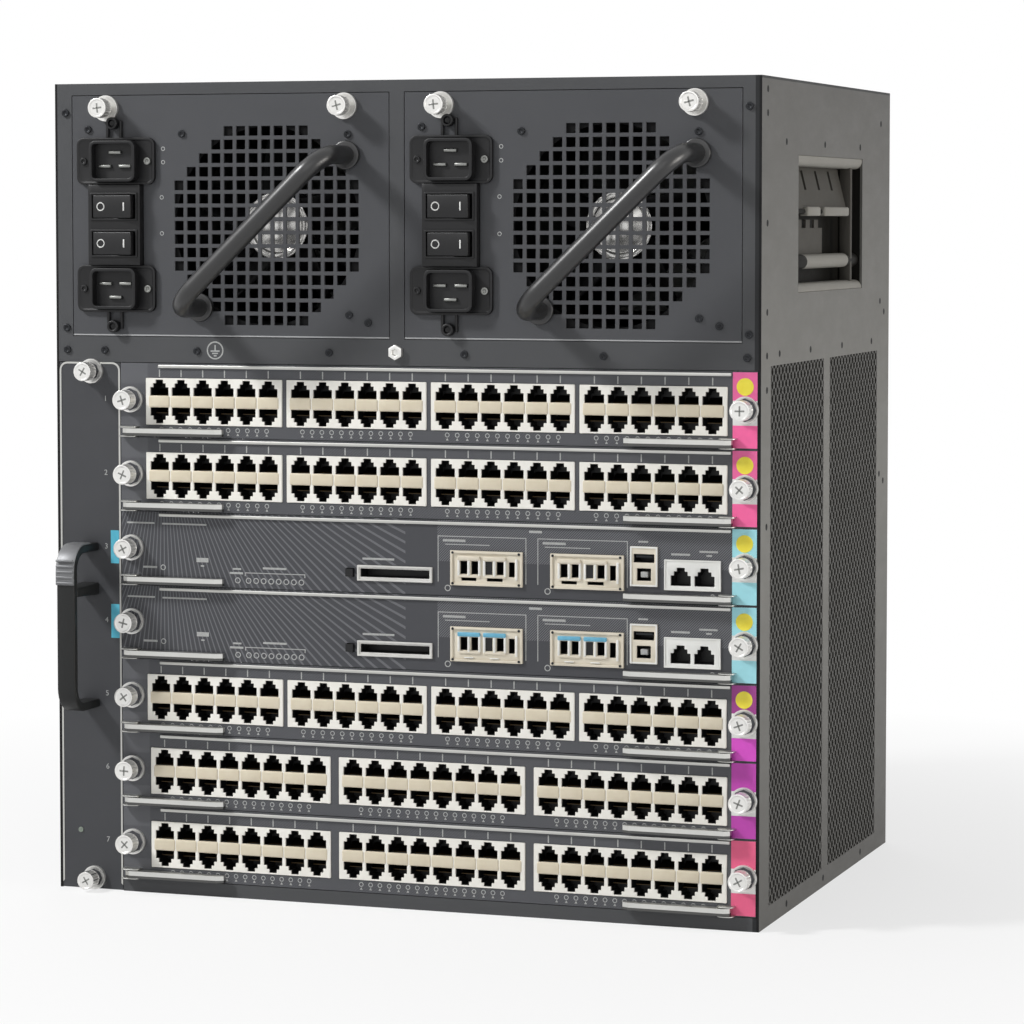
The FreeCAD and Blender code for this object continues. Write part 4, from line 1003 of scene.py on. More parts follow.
def thumb_screw(name, x, z, body, scale=1.0, turn=0.0):
    """Fit one thumb screw to the front of a body."""
    fitted = twin(screw, name)
    fitted.data.transform(Matrix.Translation((x, face_y, z))
                          @ Matrix.Diagonal((scale, 1, scale, 1))
                          @ Matrix.Rotation(turn, 4, "Y"))
    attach(fitted, body)


for side, shift in (("left", 0), ("right", psu_step)):
    for place, x in (("outer", 23.3 * MM), ("inner", 176.6 * MM)):
        thumb_screw("psu_%s_%s_thumb_screw" % (side, place), psu_low.x + x - 0.4 * MM + shift,
                    472.5 * MM, "psu_" + side, turn=x * 40)
for number in range(1, 8):
    card_low, card_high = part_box("slot_%d_card" % number)
    for side, x in (("left", card_low.x + 6.9 * MM), ("right", card_high.x - 6.9 * MM)):
        thumb_screw("card_%d_%s_thumb_screw" % (number, side), x, card_low.z + 22.3 * MM,
                    "card_%d" % number, turn=number * 0.7 + x * 9)
tray_low, tray_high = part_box("fan_tray")
thumb_screw("tray_upper_thumb_screw", tray_low.x + 21.5 * MM, 315.0 * MM, "fan_tray",
            0.95)
thumb_screw("tray_lower_thumb_screw", tray_low.x + 21.5 * MM, 7.2 * MM, "fan_tray",
            0.92, 0.5)
bpy.data.objects.remove(screw)


# --- Small screws and rivets -------------------------------------------------------
# Blackened pan head screws close the frame and the power supplies' faceplates, and
# flush black rivets hold the side walls. A plated stud and its mark give the earth point.
small = start_cylinder("small_screw", 2.3 * MM, 1.2 * MM, (0, -0.6 * MM, 0), 20)
sink_front(small, 1.2 * MM, 0.2 * MM, 0.6 * MM)
paint(soften(small, 0.5 * MM, 3, angle=50), oxide)
mark_grey = clouded("mark_grey", "#a9aaa8", "#8d8e8d", "#bfc0be", (900, 2), Roughness=0.5)


def printed_ring(x, z, radius, width, vertices=20):
    """A thin ring printed on the front, its place and size in millimetres."""
    deselect()
    bpy.ops.mesh.primitive_circle_add(vertices=vertices, radius=radius * MM,
                                      fill_type="NGON", rotation=(math.pi / 2, 0, 0),
                                      location=(x * MM, face_y - 0.1 * MM, z * MM))
    ring = settle("ring")
    edit()
    pick_all()
    inset(width * MM)
    drop()
    done()
    return paint(ring, mark_grey)


def fit_screws(name, body, spots):
    """Fit small screws to the front of a body, at pairs of x and z in millimetres."""
    heads = join(name, [twin(small, name, (x * MM, face_y, z * MM)) for x, z in spots])
    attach(heads, body)


fit_screws("frame_screws", "chassis",
           [(x, 327.8) for x in (-212.7, -187.9, -127.5, -42.7, 41.8, 126.6, 211.9)]
           + [(x, z) for z in (341, 470) for x in (-212.9, 212.9)])
plate_screws = [(-198, 460), (-136.7, 457), (-30.6, 456), (-30, 350), (-18, 345.6)]
lamp_spots = [(-149, 448.2), (-149, 440.2), (-150, 419.3), (-150, 397.8), (-30, 447)]
for side, shift in (("left", 0), ("right", psu_step / MM)):
    fit_screws("psu_%s_plate_screws" % side, "psu_" + side,
               [(x + shift, z) for x, z in plate_screws])
    lamps = join("psu_%s_lamp_marks" % side, [
        printed_ring(x + shift, z, 1.3, 0.45) for x, z in lamp_spots])
    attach(lamps, "psu_" + side)
bpy.data.objects.remove(small)

rivet_spots = ([(55, 451), (146, 451), (236, 451), (292, 467), (292, 354), (292, 243),
                (303, 347), (303, 238)]
               + [(13, z) for z in (480, 466.5, 404, 353.4, 328.6, 309, 231)]
               + [(y, 329) for y in (41, 113, 191, 269)]
               + [(y, 5.6) for y in (62, 150, 246)])
side_wall, rear_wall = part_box("right_side_panel")[1].x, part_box("rear_panel")[1].y
rear_spots = ([(x, z) for x in (-208, -104, 0, 104, 208) for z in (10, 326, 477)]
              + [(x, z) for x in (-208, 208) for z in (90, 170, 250, 402)])
sunk = 0.15 * MM


def fit_rivets(name, spots, radius, rim, vertices, turn, outwards):
    """Sink rivets in a wall at places on it, each with a shallow dish in its head."""
    heads = []
    for spot in spots:
        rivet = start_cylinder("rivet", radius, 0.4 * MM, spot, vertices, turn)
        edit()
        pick(rivet, lambda face: face.normal.dot(outwards) > 0.9)
        inset(rim, -0.03 * MM)
        done()
        heads.append(paint(rivet, shade_black))
    return join(name, heads)


rivets = [modify(fit_rivets(
    "side_rivets", [(side_wall - sunk, face_y + y * MM, z * MM) for y, z in rivet_spots],
    2.0 * MM, 0.9 * MM, 14, (0, math.pi / 2, 0), Vector((1, 0, 0))),
    "MIRROR", use_axis=(True, False, False))]
rivets.append(fit_rivets(
    "rear_rivets", [(x * MM, rear_wall - sunk, z * MM) for x, z in rear_spots],
    2.4 * MM, 1.0 * MM, 16, (math.pi / 2, 0, 0), Vector((0, 1, 0))))
for row in rivets:
    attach(row, "chassis")

stud = start_cylinder("earth_stud", 4.6 * MM, 3 * MM,
                      (-0.4 * MM, face_y - 1.5 * MM, 328.5 * MM), 6)
sink_front(stud, 2.0 * MM, 0.3 * MM, 2.2 * MM)
paint(soften(stud, 0.3 * MM), screw_nickel)
mark_x, mark_z = -115.8, 328.3
earth = [printed_ring(mark_x, mark_z, 5.4, 0.8, 40)]
for half, low, high in ((0.4, 0.0, 3.2), (2.9, -0.8, 0.0), (1.9, -2.2, -1.4),
                        (0.9, -3.6, -2.8)):
    earth.append(paint(start_piece(
        "bar", ((mark_x - half) * MM, face_y - 0.1 * MM, (mark_z + low) * MM),
        ((mark_x + half) * MM, face_y, (mark_z + high) * MM)), mark_grey))
earth = join("earth_point", [stud] + earth)
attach(earth, "chassis")


# --- Fan tray -----------------------------------------------------------------------
# A tall painted faceplate with a bare rim on its right edge carries a wall of four fans.
# A long strap handle is moulded in dark plastic with a ribbed metal tab at its top.
tray_paint = Finish("tray_paint", shade("#414245"), Roughness=0.45,
                    Specular_IOR_Level=0.3)
tray_cloud = tray_paint.noise(9, 5, 0.65)
behind = tray_paint.place("Y") > face_y + 1.6 * MM
tray_paint.feed("Base Color", tray_paint.mix(behind, tray_paint.mix(
    tray_cloud, shade("#3b3c3f"), shade("#46474a")), shade("#8f908d")))
tray_paint.feed("Metallic", behind * 1.0)
tray_paint.feed("Roughness", tray_paint.noise(34, 6, 0.7, stretch=(1, 1, 2.5)) * 0.22 + 0.36)
tray_paint.bump(tray_paint.noise(1400, 1), 0.00004)
paint(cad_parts["fan_tray"], tray_paint)
# The rim is bare metal drawn bright, partly as painted highlight where the plate's edge
# catches the light.
bare_edge_highlight = plated("bare_edge_highlight", "#c6c6c2", 0.42)
rim = start_piece("tray_rim", (tray_low.x, face_y - 0.25 * MM, tray_low.z + 3 * MM),
                  (tray_high.x, face_y, tray_high.z))
edit()
round_edges(rim, lambda item: runs_back(item) and item.verts[0].co.z > tray_high.z - MM,
            5 * MM, 6)
pick(rim, faces_front)
inset(1.1 * MM)
drop()
pick(rim, lambda face: face.normal.y > 0.9)
drop()
pick(rim, lambda face: face.calc_center_median().z < tray_low.z + 4 * MM)
drop()
done()
paint(rim, bare_edge_highlight)

band_blue = clouded("band_blue", "#55b6cf", "#49a9c4", "#62c1d8", (260, 3), Roughness=0.5)
bands = []
for z_low, z_high in ((199, 219), (153.8, 174.3)):
    bands.append(block("band", (-184.9 * MM, face_y - 0.12 * MM, z_low * MM),
                       (-179.4 * MM, face_y, z_high * MM), band_blue, 0.05 * MM, 1))
for number in range(1, 8):
    deselect()
    bpy.ops.object.text_add(rotation=(math.pi / 2, 0, 0), location=(
        -189.0 * MM, face_y - 0.06 * MM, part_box("slot_%d_card" % number)[0].z + 21 * MM))
    digit = bpy.context.object
    digit.data.body = str(number)
    digit.data.size = 4.6 * MM
    digit.data.extrude = 0.05 * MM
    bpy.ops.object.convert(target="MESH")
    bands.append(paint(settle("digit"), mark_grey))
lamp = start_piece("tray_lamp", (-207.6 * MM, face_y - 0.5 * MM, 34.3 * MM),
                   (-204.4 * MM, face_y, 37.5 * MM))
edit()
round_edges(lamp, runs_back, 1.4 * MM, 4)
done()
lens = clouded("lamp_lens", "#8d9a8b", "#7d8a7c", "#a2ada0", (800, 2), Roughness=0.2,
               Transmission_Weight=0.3)
bands.append(paint(soften(lamp, 0.15 * MM), lens))
trim = join("tray_rim_and_marks", [rim] + bands)
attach(trim, "fan_tray")

grip_low, grip_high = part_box("fan_tray_handle")
strap_black = clouded("strap_black", "#1a1b1b", "#151616", "#202121", (30, 5, 0.6),
                      Roughness=0.45, Specular_IOR_Level=0.3)
strap_black.feed("Roughness", strap_black.noise(90, 4, 0.7) * 0.25 + 0.33)
strap_black.bump(strap_black.noise(1500, 1), 0.00003)
thick, bend = 5 * MM, 15 * MM
grip_high += Vector((1.4 * MM, 0, 0))
strap_x = (grip_low.x + grip_high.x) / 2
foot_z, top_z = grip_low.z + 1.5 * MM, grip_high.z - 1.5 * MM
out_y = grip_low.y + thick + 2 * MM
deselect()
bpy.ops.mesh.primitive_plane_add(size=1, location=(strap_x, face_y, foot_z + thick / 2))
strap = bpy.context.object
strap.scale = (grip_high.x - grip_low.x, thick, 1)
strap.rotation_euler = (math.pi / 2, 0, 0)
settle("tray_strap")
edit()
pick_all()
inner_bend = bend - thick
pull(0, out_y + inner_bend - face_y, 0)
bpy.ops.mesh.spin(steps=8, angle=math.pi / 2, axis=(1, 0, 0), center=(
    strap_x, out_y + inner_bend, foot_z + thick + inner_bend))
pull(0, 0, top_z - foot_z - 2 * (thick + inner_bend))
bpy.ops.mesh.spin(steps=8, angle=math.pi / 2, axis=(1, 0, 0), center=(
    strap_x, out_y + inner_bend, top_z - thick - inner_bend))
pull(0, face_y - out_y - inner_bend, 0)
close_skin()
done()
paint(soften(strap, 0.9 * MM, 3, angle=40), strap_black)
web_z = grip_high.z - 32 * MM
web = start_piece("web", (grip_low.x, out_y - 0.5 * MM, web_z),
                  (grip_high.x, face_y, web_z + thick))
edit()
pick(web, lambda face: face.normal.y > 0.9)
bpy.ops.transform.resize(value=(1, 1, 1.5))
done()
paint(soften(web, 0.9 * MM, 3), strap_black)
tab_metal = plated("tab_metal", "#7c7d7f", 0.45, streak=(6, 1, 1))
tab_metal.shader.inputs["Metallic"].default_value = 0.4
skin = 0.8 * MM
deselect()
bpy.ops.mesh.primitive_plane_add(size=1, location=(strap_x, out_y - thick - skin / 2,
                                                   top_z - 23 * MM))
tab = bpy.context.object
tab.scale = (grip_high.x - grip_low.x + 0.6 * MM, skin, 1)
settle("tab")
edit()
pick_all()
pull(0, 0, 23 * MM - bend)
bpy.ops.mesh.spin(steps=8, angle=math.pi / 2, axis=(1, 0, 0),
                  center=(strap_x, out_y - thick + bend, top_z - bend))
pull(0, 8 * MM, 0)
close_skin()
done()
ribs = [paint(soften(tab, 0.3 * MM, 2), tab_metal)]
for level in range(5):
    z = top_z - 22.4 * MM + level * 3.3 * MM
    ribs.append(block("rib", (grip_low.x, out_y - thick - skin - 0.7 * MM, z),
                      (grip_high.x, out_y - thick - 0.2 * MM, z + 1.5 * MM), tab_metal,
                      0.55 * MM, 3))
strap = join("tray_strap_handle", [strap, web] + ribs)
smooth(strap, 40)
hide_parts("fan_tray_handle")
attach(strap, "fan_tray")

for place in ("lower_front", "lower_rear", "upper_front", "upper_rear"):
    low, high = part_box(place + "_rotor")
    fan = rotor_piece(place + "_fan_rotor", high.x - low.x, 54 * MM, shade_black)
    fan.data.transform(Matrix.Translation((low + high) / 2)
                       @ Matrix.Rotation(math.pi / 2, 4, "Z"))
    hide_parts(place + "_rotor")
    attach(fan, place + "_rotor")


# --- Line cards: socket blocks ---------------------------------------------------------
# Each block is a cream moulding snapped into the faceplate, with two rows of stepped
# sockets, gold contacts inside them and a beige bar between the rows.
PORT, BLOCK_LOW, BLOCK_HIGH = 14.1 * MM, 7.3 * MM, 35.3 * MM
CHEEK, CELL_DEPTH, BLOCK_DEPTH = 1.9 * MM, 13 * MM, 16 * MM
BAR_LOW, BAR_HIGH, mouth_y = 17.8 * MM, 24.7 * MM, face_y - 0.6 * MM
mouth_steps = ((5.95, 5.1), (4.1, 7.5), (2.4, 9.6))


def moulding(name, deep, pale):
    """A light moulding painted black from a little way inside its openings, as painted shade.
    """
    finish = Finish(name, shade(pale), Roughness=0.42)
    depth_in = (finish.place("Y") - (mouth_y + 0.15 * MM)) / (1.4 * MM)
    finish.feed("Base Color", finish.mix(depth_in, finish.mix(
        finish.noise(60, 4), shade(deep), shade(pale)), shade("#0d0d0e")))
    finish.feed("Roughness", finish.noise(300, 3) * 0.2 + 0.34)
    return finish.bump(finish.noise(1500, 1), 0.00002)


cream = moulding("cream_moulding", "#e9e6dd", "#f6f4ee")
beige = clouded("beige_bar", "#d9ceb6", "#cfc3aa", "#e0d7c2", (120, 4), Roughness=0.5)
beige.bump(beige.noise(1500, 1), 0.00002)
gold = Finish("gold_contacts", shade("#c79a3c"), Roughness=0.3)
# Painted shade: the contacts' gold is drawn dark brown, as they lie deep in the shaded mouths.
comb = gold.place("X") / (1.02 * MM)
comb = comb.maths("FRACT", comb) > 0.5
gold.feed("Base Color", gold.mix(comb, shade("#0f0e0d"), shade("#54401c")))
gold.feed("Metallic", comb * 1.0)


def in_mouth(x, z):
    """Whether a place on a socket pair's face lies in one of its two mouths."""
    beyond = z - BAR_HIGH if z > BAR_HIGH else BAR_LOW - z
    return beyond > 0 and any(abs(x) < half * MM and beyond < reach * MM
                              for half, reach in mouth_steps)


cell = cut_sheet("cell", (-PORT / 2, mouth_y, BLOCK_LOW), (PORT / 2, mouth_y + CELL_DEPTH,
                                                           BLOCK_HIGH),
                 [side * half * MM for half, reach in mouth_steps for side in (-1, 1)],
                 [BAR_LOW, BAR_HIGH] + [BAR_LOW - reach * MM for half, reach in mouth_steps]
                 + [BAR_HIGH + reach * MM for half, reach in mouth_steps], in_mouth,
                 CELL_DEPTH)
edit()
pick(cell, lambda face: abs(face.normal.x) > 0.9
     and abs(face.calc_center_median().x) > 0.49 * PORT)
drop()
pick_all()
bpy.ops.mesh.dissolve_limited(angle_limit=math.radians(2))
round_edges(cell, lambda item: all(spot.co.y < mouth_y + 0.1 * MM for spot in item.verts)
            and len(item.link_faces) == 2
            and abs(item.link_faces[0].normal.dot(item.link_faces[1].normal)) < 0.5,
            0.3 * MM, 2)
done()
paint(cell, cream)
bar = block("bar", (-PORT / 2 + 0.2 * MM, mouth_y - 0.5 * MM, BAR_LOW - 0.1 * MM),
            (PORT / 2 - 0.2 * MM, mouth_y + 2 * MM, BAR_HIGH + 0.1 * MM), beige, 0.9 * MM, 3)
tick = start_piece("tick", (-0.35 * MM, face_y - 0.08 * MM, 36.0 * MM),
                   (0.35 * MM, face_y, 40.4 * MM))
paint(tick, mark_grey)
details = [cell, bar, tick]
for rise, edge in ((1, BAR_HIGH), (-1, BAR_LOW)):
    contact = start_piece("contact", (-4.3 * MM, mouth_y + 5 * MM, edge),
                          (4.3 * MM, mouth_y + 11 * MM, edge + rise * 0.3 * MM))
    edit()
    pick(contact, lambda face: face.normal.y > 0.9)
    bpy.ops.transform.translate(value=(0, 0, rise * 3.4 * MM))
    done()
    details.append(paint(contact, gold))
cell = join("cell", details)

lamp = printed_ring(0, 4.7, 1.45, 0.45, 12)
deselect()
bpy.ops.mesh.primitive_circle_add(vertices=3, radius=1.0 * MM, fill_type="NGON",
                                  location=(0, face_y - 0.08 * MM, 2.0 * MM),
                                  rotation=(math.pi / 2, 0, 0))
lamp = join("lamp_mark", [lamp, settle("arrow")])
paint(lamp, mark_grey)


def socket_block(name, count, lamp_step):
    """One block of 2 x count sockets with its lamp marks, from x = 0 to the right."""
    width = count * PORT + 2 * CHEEK
    row = twin(cell, "row", (CHEEK + PORT / 2, 0, 0))
    modify(row, "ARRAY", count=count, use_relative_offset=False, use_constant_offset=True,
           constant_offset_displace=(PORT, 0, 0), use_merge_vertices=True,
           merge_threshold=0.01 * MM)
    lamps = twin(lamp, "lamps", (width / 2 - (count - 0.5) * lamp_step, 0, 0))
    modify(lamps, "ARRAY", count=2 * count, use_relative_offset=False,
           use_constant_offset=True, constant_offset_displace=(lamp_step, 0, 0))
    parts = [row, lamps]
    for left, right in ((0, CHEEK), (width - CHEEK, width)):
        end = start_piece("end", (left, mouth_y, BLOCK_LOW), (right, mouth_y + BLOCK_DEPTH,
                                                              BLOCK_HIGH))
        edit()
        outer = left if left == 0 else right
        round_edges(end, lambda item: all(abs(spot.co.x - outer) < 0.01 * MM
                                          for spot in item.verts), 0.5 * MM, 2)
        done()
        parts.append(paint(end, cream))
    parts.append(block("back", (CHEEK, mouth_y + 13.05 * MM, BLOCK_LOW),
                       (width - CHEEK, mouth_y + BLOCK_DEPTH, BLOCK_HIGH), cream, 0.4 * MM, 1))
    return join(name, parts)


blocks = {"six": socket_block("six_block", 6, 6.2 * MM),
          "eight": socket_block("eight_block", 8, 5.9 * MM)}
block_places = {"six": (18.6 * MM, 91.1 * MM, 4), "eight": (18.6 * MM, 121.8 * MM, 3)}
for number, kind in ((1, "six"), (2, "six"), (5, "six"), (6, "eight"), (7, "eight")):
    card_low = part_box("slot_%d_card" % number)[0]
    jack_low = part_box("slot_%d_jacks" % number)[0]
    start, step, count = block_places[kind]
    fitted = [twin(blocks[kind], "block", (jack_low.x + n * step, 0, card_low.z))
              for n in range(count)]
    sockets = join("card_%d_sockets" % number, fitted)
    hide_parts("slot_%d_jacks" % number)
    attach(sockets, "card_%d" % number)
for spare in (cell, lamp, blocks["six"], blocks["eight"]):
    bpy.data.objects.remove(spare)


# --- Cards: faceplates, levers and labels ------------------------------------------------
# The faceplates are dark powder coated steel with printed hatching, on a green board.
# Each has a bright folded lip along its top, two plated levers in clevises at its foot,
# and a coloured paper label at its right end.
lip_metal = plated("lip_metal", "#c4c4c0", 0.36, streak=(6, 1, 1))
lever_plate = plated("lever_plate", "#d6d6d2", 0.34, streak=(1, 1, 6))
slot_pitch, fold_shade_height = 44.6 * MM, 2.5 * MM
slot_share = (lever_plate.place("Z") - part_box("slot_7_card")[0].z) / slot_pitch
# Painted shade: the lowest 2.5 mm of each slot's levers is drawn dark grey, for the shaded
# underside of their folded flange.
fold_shade = slot_share.maths("FRACT", slot_share) < fold_shade_height / slot_pitch
lever_plate.feed("Base Color", lever_plate.mix(fold_shade, lever_plate.fed("Base Color"),
                                               shade("#5b5b5a")))
label_white = clouded("label_white", "#e4e4e2", "#d6d6d4", "#efefed", (300, 3), Roughness=0.5)
label_yellow = clouded("label_yellow", "#f3e23a", "#ead62e", "#f7ea55", (300, 3),
                       Roughness=0.45)
label_colors = {1: ("#ef6aa5", "#ff6aa8"), 2: ("#ef6aa5", "#ff6aa8"),
                3: ("#a6e4ee", "#a6e4ee"), 4: ("#a6e4ee", "#a6e4ee"),
                5: ("#a1408f", "#e052cf"), 6: ("#c244b2", "#c244b2"),
                7: ("#f0658f", "#f0658f")}
made_labels = {}


def label_finish(color):
    """A printed paper label, slightly uneven in its ink."""
    if color not in made_labels:
        finish = Finish("label_%d" % (len(made_labels) + 1), shade(color), Roughness=0.5)
        faded = tuple(part * 0.86 for part in shade(color))
        finish.feed("Base Color", finish.mix(finish.noise(260, 4), faded, shade(color)))
        made_labels[color] = finish
    return made_labels[color]


def card_finish(number, floor_z):
    """Powder coat with printed hatching on the plate, and green board behind it."""
    finish = Finish("card_%d_paint" % number, shade("#3d3e41"), Roughness=0.45,
                    Specular_IOR_Level=0.3)
    x, y, z = (finish.place(axis) for axis in "XYZ")
    level = z - floor_z
    if number in (3, 4):
        fan_x, fan_level, fan_lines, fan_end = -150 * MM, 105 * MM, 34, 5 * MM
        slant_start, slant_floor, slant_step = 25 * MM, 20 * MM, 1.5 * MM
        fan = x.maths("ARCTAN2", x - fan_x, fan_level - level) * fan_lines
        slant = (x - level) / slant_step
        line = ((fan.maths("FRACT", fan) < 0.28) * (x < fan_end) * 0.75
                + (slant.maths("FRACT", slant) < 0.4) * (x > slant_start)
                * (level > slant_floor))
        zone = 0.6
    else:
        slant_step, left_end, middle, clear = 0.95 * MM, -160 * MM, 22 * MM, 10 * MM
        slant = (x + level * 0.6) / slant_step
        line = slant.maths("FRACT", slant) < 0.42
        zone = ((level > 35.6 * MM) * (level < 40.6 * MM)
                + (level < 6.6 * MM) * (level > 0.6 * MM)).maths(
                    "MAXIMUM", (x < left_end) * (abs(level - middle) > clear)) * 0.7
    plain = finish.mix(finish.noise(9, 5, 0.65), shade("#3f4044"), shade("#4a4b4f"))
    front = finish.mix(line * zone, plain, shade("#85868a"))
    tracks = finish.noise(160, 2, 0.5, stretch=(1, 4, 1))
    board = finish.mix((tracks > 0.53) * 0.7, shade("#1b4429"), shade("#47835a"))
    finish.feed("Base Color", finish.mix(y > face_y + 1.6 * MM, front, board))
    finish.feed("Roughness", finish.noise(34, 6, 0.7) * 0.22 + 0.35)
    return finish.bump(finish.noise(1400, 1), 0.00004)


for number in range(1, 8):
    low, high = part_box("slot_%d_card" % number)
    floor_z, body = low.z, "card_%d" % number
    paint(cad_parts["slot_%d_card" % number], card_finish(number, floor_z))
    for side in ("left", "right"):
        paint(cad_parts["slot_%d_%s_ejector" % (number, side)], lever_plate)
    parts = [block("lip", (low.x + 25 * MM, face_y - 1.3 * MM, floor_z + 41.3 * MM),
                   (high.x - 15.2 * MM, face_y, floor_z + 43.3 * MM), lip_metal, 0.5 * MM)]
    for left, right in ((low.x + 0.8 * MM, low.x + 12.2 * MM),
                        (high.x - 21.8 * MM, high.x - 11.8 * MM)):
        for z_low, z_high in ((0.1, 0.7), (5.5, 6.2)):
            leaf = start_piece("leaf", (left, face_y - 6.6 * MM, floor_z + z_low * MM),
                               (right, face_y, floor_z + z_high * MM))
            edit()
            round_edges(leaf, lambda item: item.verts[0].co.y < face_y - MM and abs(
                item.verts[0].co.z - item.verts[1].co.z) > 0.1 * MM, 3 * MM, 4)
            done()
            parts.append(paint(soften(leaf, 0.12 * MM, 1, 60), lip_metal))
    upper, lower = label_colors[number]
    for z_low, z_high, finish in ((27.5, 43.7, label_finish(upper)),
                                  (13.4, 27.5, label_white),
                                  (0.5, 13.4, label_finish(lower))):
        parts.append(block(
            "patch", (high.x - 14.6 * MM, face_y - 0.15 * MM, floor_z + z_low * MM),
            (high.x - 0.1 * MM, face_y, floor_z + z_high * MM), finish, 0.06 * MM, 1))
    if number <= 5:
        dot = start_cylinder("dot", 5.0 * MM, 0.3 * MM, (
            high.x - 7.3 * MM, face_y - 0.18 * MM, floor_z + 35.4 * MM), 36)
        parts.append(paint(soften(dot, 0.08 * MM, 1), label_yellow))
    trim = join("card_%d_trim" % number, parts)
    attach(trim, body)


# --- Supervisor cards: sockets ---------------------------------------------------------
# Two plated housings with two pairs of optical sockets each, a serial block, a pair of
# management sockets and a memory card slot are fixed in the faceplate, among printed
# marks. Places are in millimetres, with heights from the card's lower edge.
housing = moulding("optic_housing", "#cbc2af", "#ebe3d2")
slot_frame = moulding("memory_frame", "#c4c3bf", "#e0dfdb")
port_white = moulding("port_white", "#e0e0dc", "#f2f2ee")
latch_blue = clouded("latch_blue", "#5fa9c9", "#4f9abb", "#79bcd6", (300, 3), Roughness=0.4)


def front_block(name, low, high, proud, depth, finish, rounding, segments=2):
    """A rounded box that stands proud of the sockets' face, from two corners x, z."""
    return block(name, (low[0] * MM, mouth_y - proud * MM, low[1] * MM),
                 (high[0] * MM, mouth_y + depth * MM, high[1] * MM), finish, rounding * MM,
                 segments)


def framed(low, high, border, proud, finish):
    """A raised rim round a rectangle on the front, given by two corners x, z."""
    left, bottom, right, top = (value * MM for value in (*low, *high))
    border, proud = border * MM, proud * MM
    rim = cut_sheet("rim", (left, mouth_y - proud, bottom), (right, mouth_y, top),
                    [left + border, right - border], [bottom + border, top - border],
                    lambda x, z: left + border < x < right - border
                    and bottom + border < z < top - border, proud + 0.2 * MM)
    return paint(soften(rim, proud * 0.4, 2), finish)


def opened_block(name, low, high, holes, finish):
    """A block whose front has straight holes, each given as left, low, right, high."""
    left, bottom, right, top = (value * MM for value in (*low, *high))
    holes = [[value * MM for value in hole] for hole in holes]
    opened = cut_sheet(name, (left, mouth_y, bottom), (right, mouth_y + CELL_DEPTH, top),
                       sorted({edge for hole in holes for edge in (hole[0], hole[2])}),
                       sorted({edge for hole in holes for edge in (hole[1], hole[3])}),
                       lambda x, z: any(hole[0] < x < hole[2] and hole[1] < z < hole[3]
                                        for hole in holes), CELL_DEPTH)
    only(opened)
    edit()
    pick_all()
    bpy.ops.mesh.dissolve_limited(angle_limit=math.radians(2))
    done()
    paint(soften(opened, 0.3 * MM, 2, 60), finish)
    return [opened, front_block("back", low, high, -13.05, 16, finish, 0.4, 1)]


def optic_housing(left, latches):
    """One housing with two pairs of optical mouths, at its left edge."""
    right, bottom, top, mouth_low, mouth_high = left + 44.5, 6.2, 26.6, 12.9, 20.6
    holes = [(left + start, mouth_low, left + end, mouth_high)
             for start, end in ((6.0, 10.4), (12.8, 17.2), (28.4, 32.8))]
    holes.append((left + 36.0, 11.9, left + 39.6, mouth_high))
    if not latches:
        holes += [(left + start, 9.0, left + end, 10.9)
                  for start, end in ((6.6, 16.0), (22.4, 32.2))]
    parts = opened_block("housing", (left, bottom), (right, top), holes, housing)
    parts.append(framed((left, bottom), (right, top), 1.5, 0.9, housing))
    parts.append(front_block("shadow", (left + 21.6, mouth_low), (left + 26.0, mouth_high),
                             0.05, 0.5, black, 0.05, 1))
    for start, end in ((left + 4.6, left + 18.6), (left + 20.4, left + 34.4)):
        parts.append(front_block("hood", (start, 21.0), (end, 23.6), 1.4, 0,
                                 latch_blue if latches else housing, 0.6, 3))
        parts.append(front_block("ledge", (start, 11.0), (end, 12.5), 0.9, 0, housing, 0.4))
        for x in (start, start + 6.2, end - 1.2):
            parts.append(front_block("post", (x, 12.0), (x + 1.3, 21.6), 1.1, 2,
                                     port_white, 0.45, 3))
        if latches:
            middle = (start + end) / 2
            parts.append(front_block("hook", (middle - 2.8, 8.4), (middle + 2.8, 9.0), 1.2,
                                     0, port_white, 0.2))
    parts.append(front_block("rail", (left + 40.2, 10.2), (left + 41.6, 22.6), 1.2, 0,
                             port_white, 0.4))
    for x in (left + 1.6, right - 2.0):
        for z in (bottom + 1.2, top - 1.2):
            pin = start_cylinder("pin", 0.8 * MM, 0.5 * MM,
                                 (x * MM, mouth_y - MM, z * MM), 12)
            parts.append(paint(soften(pin, 0.15 * MM, 1), oxide))
    return parts


def printed_outline(low, high):
    """Three sides of a thin printed frame between two corners x, z."""
    line = 0.5 * MM
    left, bottom, right, top = (value * MM for value in (*low, *high))
    sheet = cut_sheet("outline", (left, face_y - 0.1 * MM, bottom), (right, face_y, top),
                      [left + line, right - line], [top - line],
                      lambda x, z: left + line < x < right - line and z < top - line,
                      0.08 * MM)
    return paint(sheet, mark_grey)


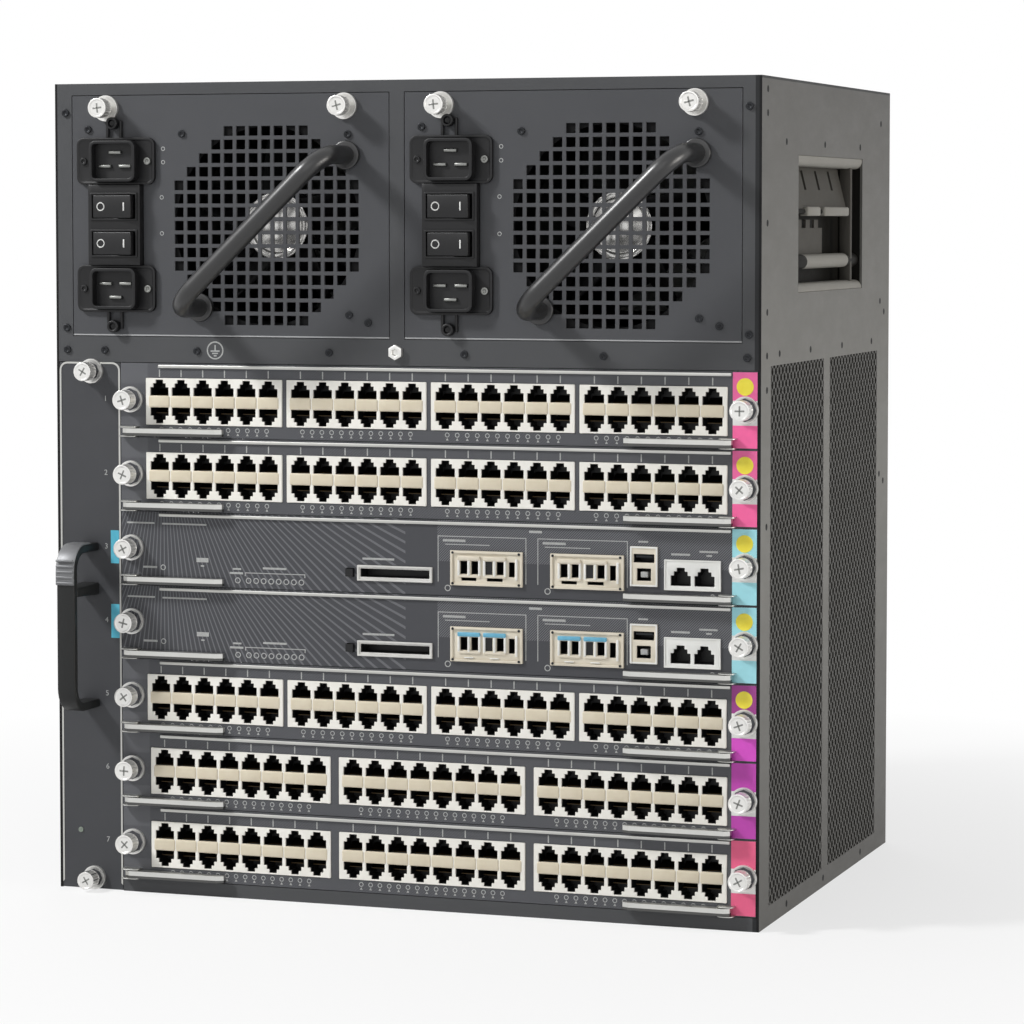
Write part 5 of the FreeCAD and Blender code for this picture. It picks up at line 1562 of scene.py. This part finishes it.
serial, management, memory = (((143.0, 9.2), (159.4, 32.2)), ((163.4, 7.6), (197.0, 25.2)),
                              ((-25.1, 7.0), (21.9, 16.2)))
rings = [(-150.4, 10.8, 1.7, 0.5), (192, 4.6, 1.4, 0.45), (-101.8, 4.5, 1.8, 0.55)]
rings += [(-94.8 + 4.85 * n, 4.5, 1.8, 0.55) for n in range(8)]
bars = ((-128.6, 14.6, -120.8, 17.2), (-125.8, 12.0, -123.6, 12.8),
        (-107.0, 8.2, -98.4, 9.4), (167.4, 27.6, 178.6, 28.8), (184.2, 29.6, 195.0, 30.7),
        (188.2, 27.4, 191.6, 28.4), (28.4, 31.6, 42.4, 33.0), (89.9, 31.6, 103.9, 33.0),
        (81.6, 38.0, 89.4, 39.4), (-22, 19.4, -2, 20.6), (147.8, 34.4, 153.6, 35.4),
        (-85.6, 11.6, -70.4, 12.8), (-174, 36.8, -156, 37.8), (-151, 36.6, -122, 37.6),
        (-105, 10.8, -99.6, 11.8), (-163.6, 10.2, -154.4, 11.4))
for number in (3, 4):
    parts = []
    for left in (33.3, 94.8):
        parts += optic_housing(left, number == 4)
        parts.append(printed_outline((left - 8.1, 8), (left + 46.6, 35)))
        parts.append(printed_ring(left - 1.9, 4.4, 1.9, 0.55))
        underline = start_piece(
            "underline", ((left - 3.6) * MM, face_y - 0.1 * MM, 29.8 * MM),
            ((left + 24) * MM, face_y, 30.3 * MM))
        parts.append(paint(underline, mark_grey))
    parts += opened_block("serial", *serial, [(145.0, 22.9, 157.4, 27.8),
                                              (147.0, 12.4, 155.4, 19.6)], housing)
    parts.append(framed(*serial, 1.0, 0.6, port_white))
    for low, high, finish in (((146.0, 25.6), (156.4, 27.2), oxide),
                              ((149.0, 14.3), (153.4, 17.6), mark_grey)):
        parts.append(front_block("tongue", low, high, -1, 12, finish, 0.3, 1))
    parts += opened_block("management", *management, [
        (middle - half, 10.2, middle + half, 11.0 + reach)
        for middle in (173.15, 187.25) for half, reach in mouth_steps], port_white)
    parts.append(framed(*management, 0.8, 0.4, port_white))
    parts += opened_block("memory", *memory, [(-23.3, 9.2, 20.1, 14.2)], slot_frame)
    parts.append(framed(*memory, 1.1, 0.7, slot_frame))
    parts += [printed_ring(*ring) for ring in rings]
    parts.append(printed_outline((-97.2, 7.2), (-58.4, 9.4)))
    for left, bottom, right, top in bars:
        parts.append(block("plaque", (left * MM, face_y - 0.12 * MM, bottom * MM),
                           (right * MM, face_y, top * MM), mark_grey, 0.05 * MM, 1))
    sockets = join("card_%d_sockets" % number, parts)
    sockets.data.transform(Matrix.Translation(
        (0, 0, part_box("slot_%d_card" % number)[0].z)))
    smooth(sockets, 40)
    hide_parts("slot_%d_jacks" % number)
    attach(sockets, "card_%d" % number)
    paint(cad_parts["slot_%d_eject_button" % number], black)
